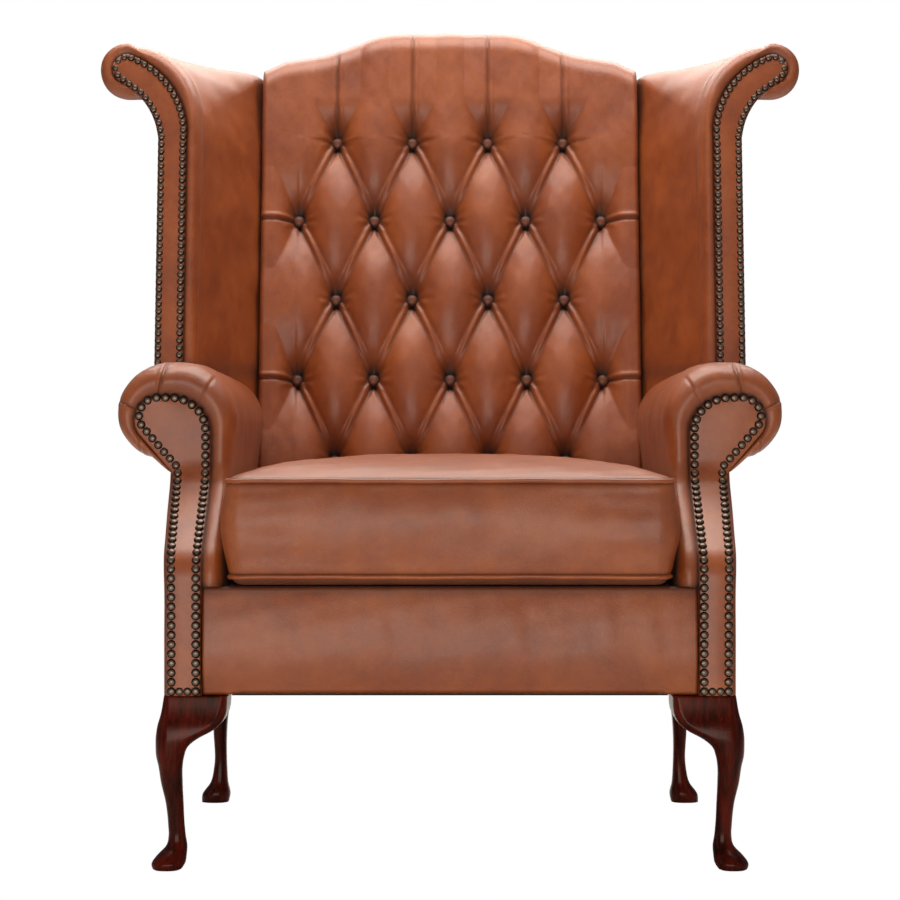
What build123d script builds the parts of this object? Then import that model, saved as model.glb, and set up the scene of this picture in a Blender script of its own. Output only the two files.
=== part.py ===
from build123d import *
import math
import os

# A wing armchair with scrolled arms and wings, a deep-buttoned back, a loose seat cushion and cabriole legs.
# X runs to the viewer's right and Y to the rear. Lengths are in millimetres.
# The chair is drawn with Y at zero on the face of the front border, and moved at the end.

# Clearances and thin sheets
soft_gap = 0.3
overrun = 40
least_edge = 0.001
panel_thick = 4
cloth_thick = 1
strap_thick = 1.5
strap_wide = 50
leather_thick = 2

# Body
body_half = 322
back_base_half = 318
back_top_half = 290
body_depth = 605
back_rake = 12
back_thick = 92
leg_height = 196

# Frame timber
rail_high = 104
rail_thick = 28
back_board_thick = 30
post_wide = 26
stump_wide = 33
stump_deep = 45
arm_rail_foot = 500
arm_rail_high = 26
arm_rail_wide = 72
back_strap_count = 5
seat_strap_count = 5
cross_strap_count = 5
lower_rail_high = 42
lower_rail_rise = 24
top_rail_foot = 932
wing_post_deep = 30
wing_post_wide = 24
wing_rail_high = 28
wing_pad = 8
block_side = 78
block_high = 38
bolt_radius = 4
bolt_in_leg = 16
bolt_length = 50

# Front border
border_half = 279
border_high = 122
border_pad = 22
border_bulge = 6
border_belly_share = 0.4
border_hook = 12

# Seat and cushion
deck_high = 16.5
cushion_half = 255.5
cushion_front = 12
cushion_rear = 540
cushion_sag = 10
cushion_foot_inset = 25
cushion_boxing = 107
cushion_crown = 30
cushion_belly = 4
cushion_pull = 4
cushion_corner = 26
corner_shrink_share = 0.33
corner_least_share = 0.5
cushion_corner_steps = 5
cushion_side_steps = 6
boxing_shares = [(0.25, 0.75), (0.5, 1), (0.75, 0.75)]
crown_shares = [(0, 0), (0.35, 0.08), (0.62, 0.22), (0.84, 0.4), (0.96, 0.6), (1, 0.77)]
piping_radius = 4

# Arms
arm_inner = 257
arm_bulge = 252
arm_height = 575
arm_roll_radius = 56.5
arm_roll_rear_radius = 54
arm_roll_offset = 8
arm_roll_turn = 165
arm_shoulder_radius = 67
arm_notch_height = 446
arm_setback = 120
sweep_start = 348
sweep_end = 441
sweep_radius = 44
sweep_steps = 6
arm_steps = [6, 6, 1, 10, 6]
roll_deep_share = 0.95
roll_bulge_share = 0.32
roll_turns = [0, 22, 45, 68, 90]
facing_thick = 3
facing_inner = 279.5
facing_outer = 318.6
facing_shoulder_x = 324
facing_shoulder_z = 494
facing_lobe_x = 336
facing_lobe_radius = 26.5
facing_lobe_turn = 128

# Wings
wing_front_low = 430
wing_low_height = 575
wing_front_high = 490
wing_high_height = 966
wing_outer = 380
wing_inner = 320
wing_rear_inner = 234
wing_top = 1001
wing_scroll_x = 421
wing_scroll_radius = 35
wing_scroll_turn = 108
wing_rear_scroll_x = 292
wing_rear_scroll_radius = 12
wing_neck_height = 880
wing_rear_neck_height = 950
wing_foot_height = 515
wing_facing_inner = 343
wing_lobe_radius = 20.3
wing_lobe_turn = 150
wing_neck_radius = 94
wing_neck_start = 870
wing_neck_turn = 45
wing_crown_x = 366
wing_crown_z = 947.4
wing_crown_slope = 33
wing_steps = [3, 7, 11, 6]
wing_roll_deep_share = 0.9
wing_roll_bulge_share = 0.25

# Nails
nail_radius = 4.9
nail_rise = 2.6
nail_pitch = 10.6
wing_nail_radius = 4.4
wing_nail_pitch = 9.6
nail_inset = 6
wing_nail_inset = 4.8
nail_sides = 6
wing_nail_start = 584

# Buttoned back
button_pitch = 103.6
button_rise = 110
button_top_height = 896
button_radius = 8.75
button_crown = 4
button_cone_shares = [0.2, 1]
button_dome_shares = [(0.8, 0.7), (0.3, 1)]
button_rows = 5
button_sides = 8
pad_half = 258
pad_foot_height = 334
tuft_depth = 32
pleat_share = 0.5
pad_edge = 18
crown_height = 1055
crown_flat = 70
crown_run = 125
crown_step = 33
crown_slope_start = 183
crown_slope_share = 0.22
steps_between_buttons = 3
channel_shares = [0.25, 0.5, 0.75, 1]
pad_edge_steps = 3
pad_edge_share = 0.25

# Front legs: height, inner edge, outer edge and corner rounding, as shares of the leg's height and top
leg_top = 73
leg_corner_steps = 4
front_leg_shares = [
    (1.0, 0.0, 1.0, 0.1),
    (0.91, 0.03, 1.04, 0.14),
    (0.84, 0.15, 1.1, 0.2),
    (0.76, 0.31, 1.13, 0.3),
    (0.7, 0.62, 1.13, 0.42),
    (0.62, 0.7, 1.1, 0.48),
    (0.5, 0.715, 1.05, 0.49),
    (0.38, 0.705, 0.98, 0.49),
    (0.25, 0.69, 0.945, 0.49),
    (0.19, 0.675, 0.94, 0.49),
    (0.13, 0.65, 0.98, 0.49),
    (0.08, 0.655, 1.11, 0.47),
    (0.04, 0.67, 1.185, 0.44),
    (0.0, 0.73, 1.17, 0.44),
]

# Back legs: height, inner edge, outer edge, front edge, rear edge and corner rounding, as shares
back_leg_wide = 30
back_leg_deep = 42
back_leg_shares = [
    (1.0, 0.0, 1.0, 0.0, 1.0, 0.15),
    (0.78, 0.15, 0.92, 0.1, 0.9, 0.25),
    (0.5, 0.3, 0.9, 0.22, 0.78, 0.42),
    (0.24, 0.27, 0.84, 0.28, 0.78, 0.47),
    (0.13, 0.22, 1.0, 0.22, 0.92, 0.48),
    (0.05, 0.13, 1.36, 0.12, 1.2, 0.46),
    (0.0, 0.2, 1.38, 0.16, 1.2, 0.44),
]

rake_cos = math.cos(math.radians(back_rake))
rake_sin = math.sin(math.radians(back_rake))
rake_tan = math.tan(math.radians(back_rake))
rail_top = leg_height + rail_high
border_top = leg_height + border_high
deck_floor = rail_top + 2 * strap_thick
deck_top = deck_floor + deck_high
cushion_floor = deck_top + soft_gap
cushion_low = cushion_floor + cushion_sag
cushion_top = cushion_low + cushion_boxing
rail_front = border_pad
rail_rear = rail_front + rail_thick
side_rail_outer = body_half - panel_thick
side_rail_inner = side_rail_outer - rail_thick
post_face = panel_thick + back_board_thick
pad_back = post_face + strap_thick
pad_floor = back_thick - tuft_depth


# Places and shapes that several pieces share

def back_plane(out):
    """The raked plane of the back, moved forward by out. Its own Y is the distance up the rake."""
    base = Plane(
        origin=(0, body_depth, leg_height),
        x_dir=(1, 0, 0),
        z_dir=(0, -rake_cos, rake_sin),
    )
    return base.offset(out)


def up(height, out=0):
    """Distance up the rake of a point at this height, on the plane moved forward by out."""
    return (height - leg_height - out * rake_sin) / rake_cos


def rear_at(height, out):
    """Y of the raked plane at a height, for a plane moved forward by out."""
    return body_depth + (height - leg_height) * rake_tan - out / rake_cos


def both_sides(right):
    """The right piece and its mirror image for the left side."""
    return {"right": right, "left": mirror(right, about=Plane.YZ)}


def box_between(low, high):
    """A box from its lowest corner to its highest corner."""
    sizes = [b - a for a, b in zip(low, high)]
    return Pos(*low) * Box(*sizes, align=(Align.MIN, Align.MIN, Align.MIN))


def prism(plane, points, amount):
    """An outline of straight edges on a plane, made into a solid."""
    return extrude(plane * make_face(Polyline(*points, close=True)), amount=amount)


def back_region(low_out, high_out, half):
    """The space behind the back pad's face, as wide as the pad, from one depth to another."""
    reach = up(crown_height) + overrun
    points = [(-half, -overrun), (half, -overrun), (half, reach), (-half, reach)]
    return prism(back_plane(low_out), points, high_out - low_out)


def camel(across):
    """Height of the back's top edge, flat in the middle and stepping down to sloping shoulders."""
    run = min(max((abs(across) - crown_flat) / crown_run, 0), 1)
    smooth = run * run * (3 - 2 * run)
    slope = max(abs(across) - crown_slope_start, 0) * crown_slope_share
    return crown_height - crown_step * smooth - slope


def crest(across):
    """Distance up the rake of the back's top edge, which is highest where its rolled edge begins."""
    return up(camel(across), back_thick - pad_edge)


def back_half_at(height):
    """Half the body's width at the rear: upright below the arms' rolls, then drawn in to the wings' necks."""
    share = (height - arm_notch_height) / (wing_rear_neck_height - arm_notch_height)
    return back_base_half + (back_top_half - back_base_half) * max(share, 0)


def solid_of(faces):
    """One solid sewn from the faces that close it."""
    made = Solid(Shell(faces))
    return made if made.volume > 0 else -made


def flat_face(points):
    return Face(Wire.make_polygon(points, close=True))


def triangle(first, second, third):
    """One triangle in a list, or none where two of its corners meet."""
    sides = [(first - second).length, (second - third).length, (third - first).length]
    return [flat_face([first, second, third])] if min(sides) > least_edge else []


def band(low, high, turned=()):
    """Triangles between two rings of as many points. Where turned, they meet on the other diagonal."""
    faces = []
    for k in range(len(low)):
        over = (k + 1) % len(low)
        if k in turned:
            faces += triangle(low[k], low[over], high[k])
            faces += triangle(low[over], high[over], high[k])
        else:
            faces += triangle(low[k], low[over], high[over])
            faces += triangle(low[k], high[over], high[k])
    return faces


def zipped(ring):
    """Triangles that close a ring by joining its two sides from the foot upwards."""
    faces = []
    last = len(ring) - 1
    for k in range(len(ring) // 2):
        corners = [ring[k], ring[k + 1], ring[last - k - 1], ring[last - k]]
        if k + 1 < last - k - 1:
            faces.append(flat_face([corners[0], corners[1], corners[2]]))
        if k < last - k - 1:
            faces.append(flat_face([corners[0], corners[2], corners[3]]))
    return faces


def skin(rings, closings=(flat_face, flat_face), turned=()):
    """A solid whose sides join rings of points, closed at its first and last ring."""
    faces = []
    for low, high in zip(rings, rings[1:]):
        faces += band(low, high, turned)
    for ring, closing in [(rings[0][::-1], closings[0]), (rings[-1], closings[1])]:
        made = closing(ring)
        faces += made if isinstance(made, list) else [made]
    return solid_of(faces)


def points_on(edges, counts):
    """Points along a chain of edges, each edge cut into its own number of steps."""
    return [edge @ (k / count) for edge, count in zip(edges, counts) for k in range(count)]


def rolled(whole, facing, turn, deep_share, bulge_share):
    """A ring part of the way round a front roll, as places across, up and behind the front's surface.

    The ring goes from the facing's outline to the whole section as the turn goes from 0 to 90 degrees.
    """
    angle = math.radians(turn)
    places = []
    for outside, inside in zip(whole, facing):
        wide = math.hypot(outside.X - inside.X, outside.Y - inside.Y)
        behind = wide * (deep_share * (1 - math.cos(angle)) - bulge_share * math.sin(2 * angle))
        share = math.sin(angle)
        places.append((
            inside.X + (outside.X - inside.X) * share,
            inside.Y + (outside.Y - inside.Y) * share,
            behind,
        ))
    return places


# Arms

def front_curve(shift, top):
    """The arm front's side view: upright, swept back, and upright again at the scroll."""
    return FilletPolyline(
        (-shift, leg_height),
        (-shift, sweep_start),
        (arm_setback - shift, sweep_end),
        (arm_setback - shift, top),
        radius=sweep_radius,
    )


def front_depth(height):
    """Depth of the arm's front at a height, on the same curve."""
    lean = math.atan2(arm_setback, sweep_end - sweep_start)
    reach = sweep_radius * math.tan(lean / 2)
    low = sweep_start - reach
    high = sweep_end + reach
    low_end = sweep_start + reach * math.cos(lean)
    high_end = sweep_end - reach * math.cos(lean)
    if height <= low:
        return 0
    if height <= low_end:
        return sweep_radius - math.sqrt(sweep_radius**2 - (height - low) ** 2)
    if height <= high_end:
        return (height - sweep_start) * arm_setback / (sweep_end - sweep_start)
    if height <= high:
        return arm_setback - sweep_radius + math.sqrt(sweep_radius**2 - (high - height) ** 2)
    return arm_setback


def sweep_heights():
    """Heights from the foot to the top of the sweep at which the arm's front is cut into facets."""
    lean = math.atan2(arm_setback, sweep_end - sweep_start)
    reach = sweep_radius * math.tan(lean / 2)
    heights = [leg_height]
    for k in range(sweep_steps + 1):
        heights.append(sweep_start - reach + sweep_radius * math.sin(lean * k / sweep_steps))
    for k in range(sweep_steps):
        heights.append(sweep_end + reach - sweep_radius * math.sin(lean * (1 - k / sweep_steps)))
    last = arm_notch_height - 2 * panel_thick
    return [height for height in heights if height < last] + [last]


def arm_section(outer, roll_radius, inset):
    """Points round the arm cut across. inset is what the outside panel takes below the roll."""
    roll_x = outer + arm_roll_offset
    roll_z = arm_height - roll_radius
    shoulder_x = arm_bulge + arm_shoulder_radius
    shoulder_z = arm_height - arm_shoulder_radius
    under = math.radians(90 - arm_roll_turn)
    tuck = (roll_x + roll_radius * math.cos(under), roll_z + roll_radius * math.sin(under))
    edges = [
        Line((arm_inner, arm_notch_height), (arm_bulge, shoulder_z)),
        CenterArc((shoulder_x, shoulder_z), arm_shoulder_radius, 180, -90),
        Line((shoulder_x, arm_height), (roll_x, arm_height)),
        CenterArc((roll_x, roll_z), roll_radius, 90, -arm_roll_turn),
        Line(tuck, (outer, arm_notch_height)),
    ]
    side = sweep_heights()
    rising = [Vector(arm_inner, height) for height in side]
    falling = [Vector(outer - inset, height) for height in side[::-1]]
    notch = arm_notch_height + soft_gap
    foot = [Vector(outer, notch), Vector(outer - inset, notch - panel_thick)]
    return rising + points_on(edges, arm_steps) + foot + falling


def facing_ring(limit):
    """Points round the arm's facing that answer those of its section, out to a limit on the outer side."""
    edges = arm_facing_outline(0, 0)
    side = sweep_heights()
    corner = edges[4] @ 1
    rising = [Vector(facing_inner, height) for height in side]
    falling = [Vector(limit, height) for height in side[::-1]]
    foot = [Vector(limit, corner.Y), Vector(limit, arm_notch_height + soft_gap - panel_thick)]
    inner = Line((facing_inner, arm_notch_height), edges[0] @ 1)
    return rising + points_on([inner] + edges[1:5], arm_steps) + foot + falling


def on_front(places):
    """Places across, up and behind the arm's front, as points in space."""
    return [Vector(x, front_depth(z) + behind, z) for x, z, behind in places]


def arm_body(inset):
    """The whole arm: a front that rolls over to the facing, and a rear cut to the back's rake."""
    whole = arm_section(body_half, arm_roll_radius, inset)
    rear = arm_section(back_base_half, arm_roll_rear_radius, inset)
    facing = facing_ring(body_half - panel_thick - soft_gap)
    rings = [[Vector(place.X, rear_at(place.Y, panel_thick), place.Y) for place in rear]]
    for turn in roll_turns[::-1]:
        rings.append(on_front(rolled(whole, facing, turn, roll_deep_share, roll_bulge_share)))
    return skin(rings, (flat_face, zipped))


def outside_arm_panel():
    """The outside arm panel, from the swept front to the back's rake."""
    side = sweep_heights()
    rings = []
    for outer, depth in [(back_base_half, lambda z: rear_at(z, panel_thick)), (body_half, front_depth)]:
        inner = outer - panel_thick
        places = [(inner, height) for height in side] + [(inner, arm_notch_height - panel_thick)]
        places += [(outer, arm_notch_height)] + [(outer, height) for height in side[::-1]]
        rings.append([Vector(x, depth(z), z) for x, z in places])
    return skin(rings, (flat_face, zipped))


def arm_facing_outline(inset, lift):
    """The scrolled facing's outline, drawn in by inset, with the scroll moved up by lift."""
    inner = facing_inner + inset
    outer = facing_outer - inset
    foot = leg_height
    shoulder_radius = facing_shoulder_x - inner
    crown = facing_shoulder_z + lift + shoulder_radius
    lobe_radius = facing_lobe_radius - inset
    lobe_z = crown - lobe_radius
    leave = math.radians(90 - facing_lobe_turn)
    tangent_x = facing_lobe_x + lobe_radius * math.cos(leave)
    tangent_z = lobe_z + lobe_radius * math.sin(leave)
    drop = (tangent_x - outer) / math.tan(-leave)
    return [
        Line((inner, foot), (inner, facing_shoulder_z + lift)),
        CenterArc((facing_shoulder_x, facing_shoulder_z + lift), shoulder_radius, 180, -90),
        Line((facing_shoulder_x, crown), (facing_lobe_x, crown)),
        CenterArc((facing_lobe_x, lobe_z), lobe_radius, 90, -facing_lobe_turn),
        Line((tangent_x, tangent_z), (outer, tangent_z - drop)),
        Line((outer, tangent_z - drop), (outer, foot)),
    ]


def along(edges, pitch):
    """Evenly spaced places along a chain of edges, as near to the pitch as whole steps allow."""
    total = sum(edge.length for edge in edges)
    steps = max(round(total / pitch), 1)
    places = []
    for step in range(steps + 1):
        left = total * step / steps
        for edge in edges:
            if left <= edge.length or edge is edges[-1]:
                places.append(edge @ min(left / edge.length, 1))
                break
            left -= edge.length
    return places


def nail_head(radius):
    """A shallow faceted dome that stands on its own XY plane."""
    ring = [
        (radius * math.cos(2 * math.pi * k / nail_sides), radius * math.sin(2 * math.pi * k / nail_sides))
        for k in range(nail_sides)
    ]
    base = [Vector(x, y, 0) for x, y in ring]
    tip = Vector(0, 0, nail_rise)
    faces = [flat_face([base[k], base[(k + 1) % nail_sides], tip]) for k in range(nail_sides)]
    faces.append(flat_face(base[::-1]))
    return solid_of(faces)


def arm_nails():
    """The nails round the right arm's facing, worked out on the flat and laid on the swept front."""
    top = arm_height + overrun
    front = Wire(front_curve(facing_thick + 2 * soft_gap, top).edges())
    lift = front.length - (top - leg_height)
    edges = arm_facing_outline(nail_inset, lift)
    foot = [Line((facing_outer - nail_inset, leg_height), (facing_inner + nail_inset, leg_height))]
    flat = along(edges, nail_pitch) + along(foot, nail_pitch)[1:-1]
    head = nail_head(nail_radius)
    nails = []
    for place in flat:
        run = (place.Y - leg_height + nail_radius) / front.length
        spot = front @ run
        ahead = front % run
        seat = Plane(
            origin=(place.X, spot.X, spot.Y),
            x_dir=(1, 0, 0),
            z_dir=(0, -ahead.Y, ahead.X),
        )
        nails.append(head.moved(seat.location))
    return nails


# Wings

wing_lean = math.degrees(math.atan((wing_front_high - wing_front_low) / (wing_high_height - wing_low_height)))
lean_cos = math.cos(math.radians(wing_lean))


def wing_plane(out):
    """The leaning plane of the wing's front, moved forward by out."""
    base = Plane(
        origin=(0, wing_front_low, wing_low_height),
        x_dir=(1, 0, 0),
        z_dir=(0, -lean_cos, math.sin(math.radians(wing_lean))),
    )
    return base.offset(out)


def wing_section(rise, foot_outer, outer, inner, scroll_x, scroll_radius, neck, inset):
    """Points round the wing cut across. rise turns a height into a distance up the section's plane."""
    scroll_z = rise(wing_top) - scroll_radius
    shoulder_radius = scroll_x - inner
    shoulder_z = rise(wing_top) - shoulder_radius
    tuck = math.radians(-wing_scroll_turn)
    notch = (scroll_x + scroll_radius * math.cos(tuck), scroll_z + scroll_radius * math.sin(tuck))
    foot = rise(wing_foot_height)
    hollow = TangentArc((outer, rise(neck)), notch, tangent=(0, 1))
    edges = [
        Line((inner, foot), (inner, shoulder_z)),
        CenterArc((scroll_x, shoulder_z), shoulder_radius, 180, -90),
        CenterArc((scroll_x, scroll_z), scroll_radius, 90, -90 - wing_scroll_turn),
    ]
    points = points_on(edges, wing_steps) + [hollow @ (1 - k / wing_steps[-1]) for k in range(wing_steps[-1])]
    top = rise(neck) + soft_gap
    step = [Vector(outer, top), Vector(outer - inset, top - panel_thick)]
    return points + step + [Vector(foot_outer - inset, foot)]


def wing_panel_section(rise, foot_outer, outer, neck):
    """Points round the outside wing panel cut across."""
    top = rise(neck)
    foot = rise(wing_foot_height)
    return [
        Vector(foot_outer - panel_thick, foot),
        Vector(outer - panel_thick, top - panel_thick),
        Vector(outer, top),
        Vector(foot_outer, foot),
    ]


def on_plane(plane, points):
    return [plane.from_local_coords((place.X, place.Y, 0)) for place in points]


def wing_rise(height):
    return (height - wing_low_height) / lean_cos


def wing_facing_outline(inset):
    """The wing facing's outline from the foot of the inner edge, over the scroll and down the outer edge."""
    inner = wing_facing_inner + inset
    outer = wing_outer - inset
    foot = wing_rise(wing_foot_height)
    start = wing_rise(wing_neck_start)
    lobe_radius = wing_lobe_radius - inset
    lobe_z = wing_rise(wing_high_height)
    neck_radius = wing_neck_radius + inset
    neck_x = wing_outer + wing_neck_radius
    bend = math.radians(wing_neck_turn)
    neck_end = (neck_x - neck_radius * math.cos(bend), start + neck_radius * math.sin(bend))
    leave = math.radians(90 - wing_lobe_turn)
    under = (wing_scroll_x + lobe_radius * math.cos(leave), lobe_z + lobe_radius * math.sin(leave))
    slope = math.radians(wing_crown_slope)
    crown = (wing_crown_x + inset * math.cos(slope), wing_rise(wing_crown_z) - inset * math.sin(slope))
    return [
        Line((inner, foot), (inner, start)),
        ThreePointArc((inner, start), crown, (wing_scroll_x, lobe_z + lobe_radius)),
        CenterArc((wing_scroll_x, lobe_z), lobe_radius, 90, -wing_lobe_turn),
        Line(under, neck_end),
        CenterArc((neck_x, start), neck_radius, 180 - wing_neck_turn, wing_neck_turn),
        Line((outer, start), (outer, foot)),
    ]


def wing_nails():
    """The nails round the right wing's facing, from just above the arm."""
    edges = wing_facing_outline(wing_nail_inset)
    start = wing_rise(wing_nail_start)
    edges[0] = Line((wing_facing_inner + wing_nail_inset, start), edges[0] @ 1)
    edges[-1] = Line(edges[-1] @ 0, (wing_outer - wing_nail_inset, start))
    places = along(edges, wing_nail_pitch)
    head = nail_head(wing_nail_radius)
    seat = wing_plane(facing_thick + soft_gap)
    return [head.moved(seat.location * Pos(place.X, place.Y)) for place in places]


# Back

def tuft_height(across, below):
    """Share of the tuft's depth at a place across the back and below the top row of buttons.

    The pleats are the diagonals of a lattice of buttons. Between them each diamond swells as the product of
    two sine waves. Above the top row the channels run upright, and beyond the last button they run level.
    """
    half = button_pitch / 2
    level = below / button_rise
    side = abs(across) / half
    last = button_rows - 1
    if level < 0:
        away = min(abs((side - 1) % 2 - 2 * round(((side - 1) % 2) / 2)), 1)
        away = min(side - last + 1, 1) if side > last - 1 else away
        swell = math.sin(math.pi / 2 * away)
        pleat = math.sin(math.pi / 2 * min(-2 * level, 1))
        return max(pleat_share * pleat, swell)
    if side > last:
        away = abs((level - 1) % 2 - 2 * round(((level - 1) % 2) / 2))
        swell = math.sin(math.pi / 2 * away)
        pleat = math.sin(math.pi / 2 * min(side - last, 1))
        return max(pleat_share * pleat, swell)
    rising = (side + level + 1) / 2
    falling = (side - level + 1) / 2
    first = math.sin(math.pi * abs(rising - round(rising)))
    second = math.sin(math.pi * abs(falling - round(falling)))
    return max(pleat_share * max(first, second), math.sqrt(first * second))


def back_columns():
    """Places across the back pad: the lattice's own lines, and the rounded edges."""
    step = button_pitch / 2 / steps_between_buttons
    count = int((pad_half - pad_edge / 2) / step)
    middle = [(step * k, 0) for k in range(-count, count + 1)]
    edge_start = pad_edge * pad_edge_share
    edge = [(pad_half - edge_start, edge_start), (pad_half, pad_edge)]
    left = [(-place, drop) for place, drop in edge[::-1]]
    return left + middle + edge


def back_pad_faces(columns):
    """The back pad's face, its rolled top edge over the top rail, and its flat back."""
    step = button_rise / steps_between_buttons
    count = int((button_top_height - pad_foot_height) / step)
    lattice = [step * k for k in range(count, -1, -1)]
    grid = []
    for across, drop in columns:
        top = crest(across)
        head = top - pad_edge
        row_one = up(button_top_height, pad_floor)
        foot_rise = up(pad_foot_height)
        line = [(foot_rise, pad_floor)]
        for below in lattice:
            lift = tuft_depth * tuft_height(across, below)
            line.append((row_one - below, pad_floor + lift - drop))
        for share in channel_shares:
            rise = (head - row_one) * share
            lift = tuft_depth * tuft_height(across, -rise)
            line.append((row_one + rise, pad_floor + lift - drop))
        over = line[-1][1]
        for turn in range(1, pad_edge_steps + 1):
            angle = math.pi / 2 * turn / pad_edge_steps
            line.append((head + pad_edge * math.sin(angle), over - pad_edge * (1 - math.cos(angle))))
        line.append((top, panel_thick))
        line.append((top - pad_edge, panel_thick))
        line.append((top - pad_edge, pad_back))
        line.append((foot_rise, pad_back))
        grid.append([back_plane(out).from_local_coords((across, rise, 0)) for rise, out in line])
    faces = []
    for k in range(len(grid) - 1):
        low, high = grid[k], grid[k + 1]
        for row in range(len(low)):
            over = (row + 1) % len(low)
            corners = [low[row], high[row], high[over], low[over]]
            middle = (columns[k][0] + columns[k + 1][0]) / button_pitch
            tier = math.floor((row - 1) / steps_between_buttons + count / steps_between_buttons % 1)
            even = (math.floor(middle) + tier) % 2 == 0
            if even:
                faces.append(flat_face([corners[0], corners[1], corners[2]]))
                faces.append(flat_face([corners[0], corners[2], corners[3]]))
            else:
                faces.append(flat_face([corners[0], corners[1], corners[3]]))
                faces.append(flat_face([corners[1], corners[2], corners[3]]))
    faces.append(flat_face(grid[0][::-1]))
    faces.append(flat_face(grid[-1]))
    return faces


def button_places():
    """Places of the buttons across the back and up the rake."""
    half = button_pitch / 2
    places = []
    for row in range(button_rows):
        count = button_rows - (1 - row % 2)
        first = -(count - 1) * half
        for k in range(count):
            places.append((first + k * button_pitch, up(button_top_height, pad_floor) - row * button_rise))
    return places


def button_solid():
    """A leather button: a low dome on a cone that sits down into its pocket."""
    step = button_pitch / 2 / steps_between_buttons
    seat = button_radius * tuft_depth * math.sin(math.pi / 2 / steps_between_buttons) / step
    rings = [(button_radius * share, seat * share) for share in button_cone_shares]
    rings += [(button_radius * wide, seat + button_crown * high) for wide, high in button_dome_shares]
    faces = []
    loops = []
    for radius, rise in rings:
        loops.append([
            Vector(
                radius * math.cos(2 * math.pi * k / button_sides),
                radius * math.sin(2 * math.pi * k / button_sides),
                rise,
            )
            for k in range(button_sides)
        ])
    for low, high in zip(loops, loops[1:]):
        for k in range(button_sides):
            over = (k + 1) % button_sides
            faces.append(flat_face([low[k], low[over], high[over], high[k]]))
    faces.append(flat_face(loops[0][::-1]))
    faces.append(flat_face(loops[-1]))
    return solid_of(faces)


# Cushion

def cushion_outline(height, inset):
    """Points round the cushion at a height: four drawn-in sides and four round corners."""
    half = cushion_half - inset
    front = -cushion_front + inset
    rear = cushion_rear - inset
    corner = max(cushion_corner - inset * corner_shrink_share, cushion_corner * corner_least_share)
    middle = (front + rear) / 2
    right = half - corner
    near = front + corner
    far = rear - corner
    edges = [
        ThreePointArc((-right, front), (0, front + cushion_pull), (right, front)),
        CenterArc((right, near), corner, -90, 90),
        ThreePointArc((half, near), (half - cushion_pull, middle), (half, far)),
        CenterArc((right, far), corner, 0, 90),
        ThreePointArc((right, rear), (0, rear - cushion_pull), (-right, rear)),
        CenterArc((-right, far), corner, 90, 90),
        ThreePointArc((-half, far), (-half + cushion_pull, middle), (-half, near)),
        CenterArc((-right, near), corner, 180, 90),
    ]
    outline = points_on(edges, [cushion_side_steps, cushion_corner_steps] * 4)
    return [Vector(place.X, place.Y, height) for place in outline]


def cushion_form(skin_deep):
    """The cushion as a crowned form between its two piped edges, drawn in by skin_deep on every side."""
    edge = 2 * piping_radius + soft_gap
    reach = cushion_half - edge
    rings = [
        cushion_outline(cushion_floor + skin_deep, cushion_foot_inset + skin_deep),
        cushion_outline(cushion_low + skin_deep, edge + skin_deep),
    ]
    for rise_share, belly_share in boxing_shares:
        height = cushion_low + cushion_boxing * rise_share
        rings.append(cushion_outline(height, edge - cushion_belly * belly_share + skin_deep))
    for rise_share, inset_share in crown_shares:
        height = cushion_top - skin_deep + cushion_crown * rise_share
        rings.append(cushion_outline(height, edge + reach * inset_share + skin_deep))
    return skin(rings)


def piping_loop(height):
    """A closed roll of piping round the cushion at a height, eight-sided across."""
    flat = piping_radius * math.tan(math.pi / 8)
    profile = [(-piping_radius, flat), (-flat, piping_radius), (flat, piping_radius), (piping_radius, flat)]
    rings = [cushion_outline(height + rise, piping_radius - out) for rise, out in profile]
    rings += [cushion_outline(height + rise, piping_radius + out) for rise, out in profile[::-1]]
    faces = []
    for k in range(len(rings)):
        faces += band(rings[k - 1], rings[k])
    return solid_of(faces)


# Legs

def leg_section(height, low_x, high_x, low_y, high_y, corner_share):
    """Points round a leg: a rectangle with rounded corners."""
    corner = min(high_x - low_x, high_y - low_y) * corner_share
    centres = [
        (high_x - corner, low_y + corner, -90),
        (high_x - corner, high_y - corner, 0),
        (low_x + corner, high_y - corner, 90),
        (low_x + corner, low_y + corner, 180),
    ]
    points = []
    for x, y, start in centres:
        for k in range(leg_corner_steps + 1):
            angle = math.radians(start + 90 * k / leg_corner_steps)
            points.append(Vector(x + corner * math.cos(angle), y + corner * math.sin(angle), height))
    return points


def front_leg():
    """The right front cabriole leg, the same along X as along Y, so that it bows out at the corner."""
    inner = body_half - leg_top
    sections = []
    for height, low, high, corner in front_leg_shares:
        low_x = inner + leg_top * low
        high_x = inner + leg_top * high
        low_y = leg_top * (1 - high)
        high_y = leg_top * (1 - low)
        sections.append(leg_section(leg_height * height, low_x, high_x, low_y, high_y, corner))
    return skin(sections)


def back_leg():
    """The right back leg: a slender turned-out leg on a small pad foot."""
    inner = back_base_half - back_leg_wide
    front = body_depth - back_leg_deep
    sections = []
    for height, low_x, high_x, low_y, high_y, corner in back_leg_shares:
        sections.append(
            leg_section(
                leg_height * height,
                inner + back_leg_wide * low_x,
                inner + back_leg_wide * high_x,
                front + back_leg_deep * low_y,
                front + back_leg_deep * high_y,
                corner,
            )
        )
    return skin(sections)


# Back frame. Its boards stand in the raked plane, between the outside back and the face of the posts.

post_foot_outer = back_base_half - panel_thick
post_head_outer = back_top_half - panel_thick
post_top = wing_top - pad_edge - panel_thick
lower_rail_foot = rail_top + lower_rail_rise
lower_rail_top = lower_rail_foot + lower_rail_high


def post_inner(height):
    """The inner edge of the back post at a height."""
    share = (height - leg_height) / (post_top - leg_height)
    return post_foot_outer - post_wide + (post_head_outer - post_foot_outer) * share


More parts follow.
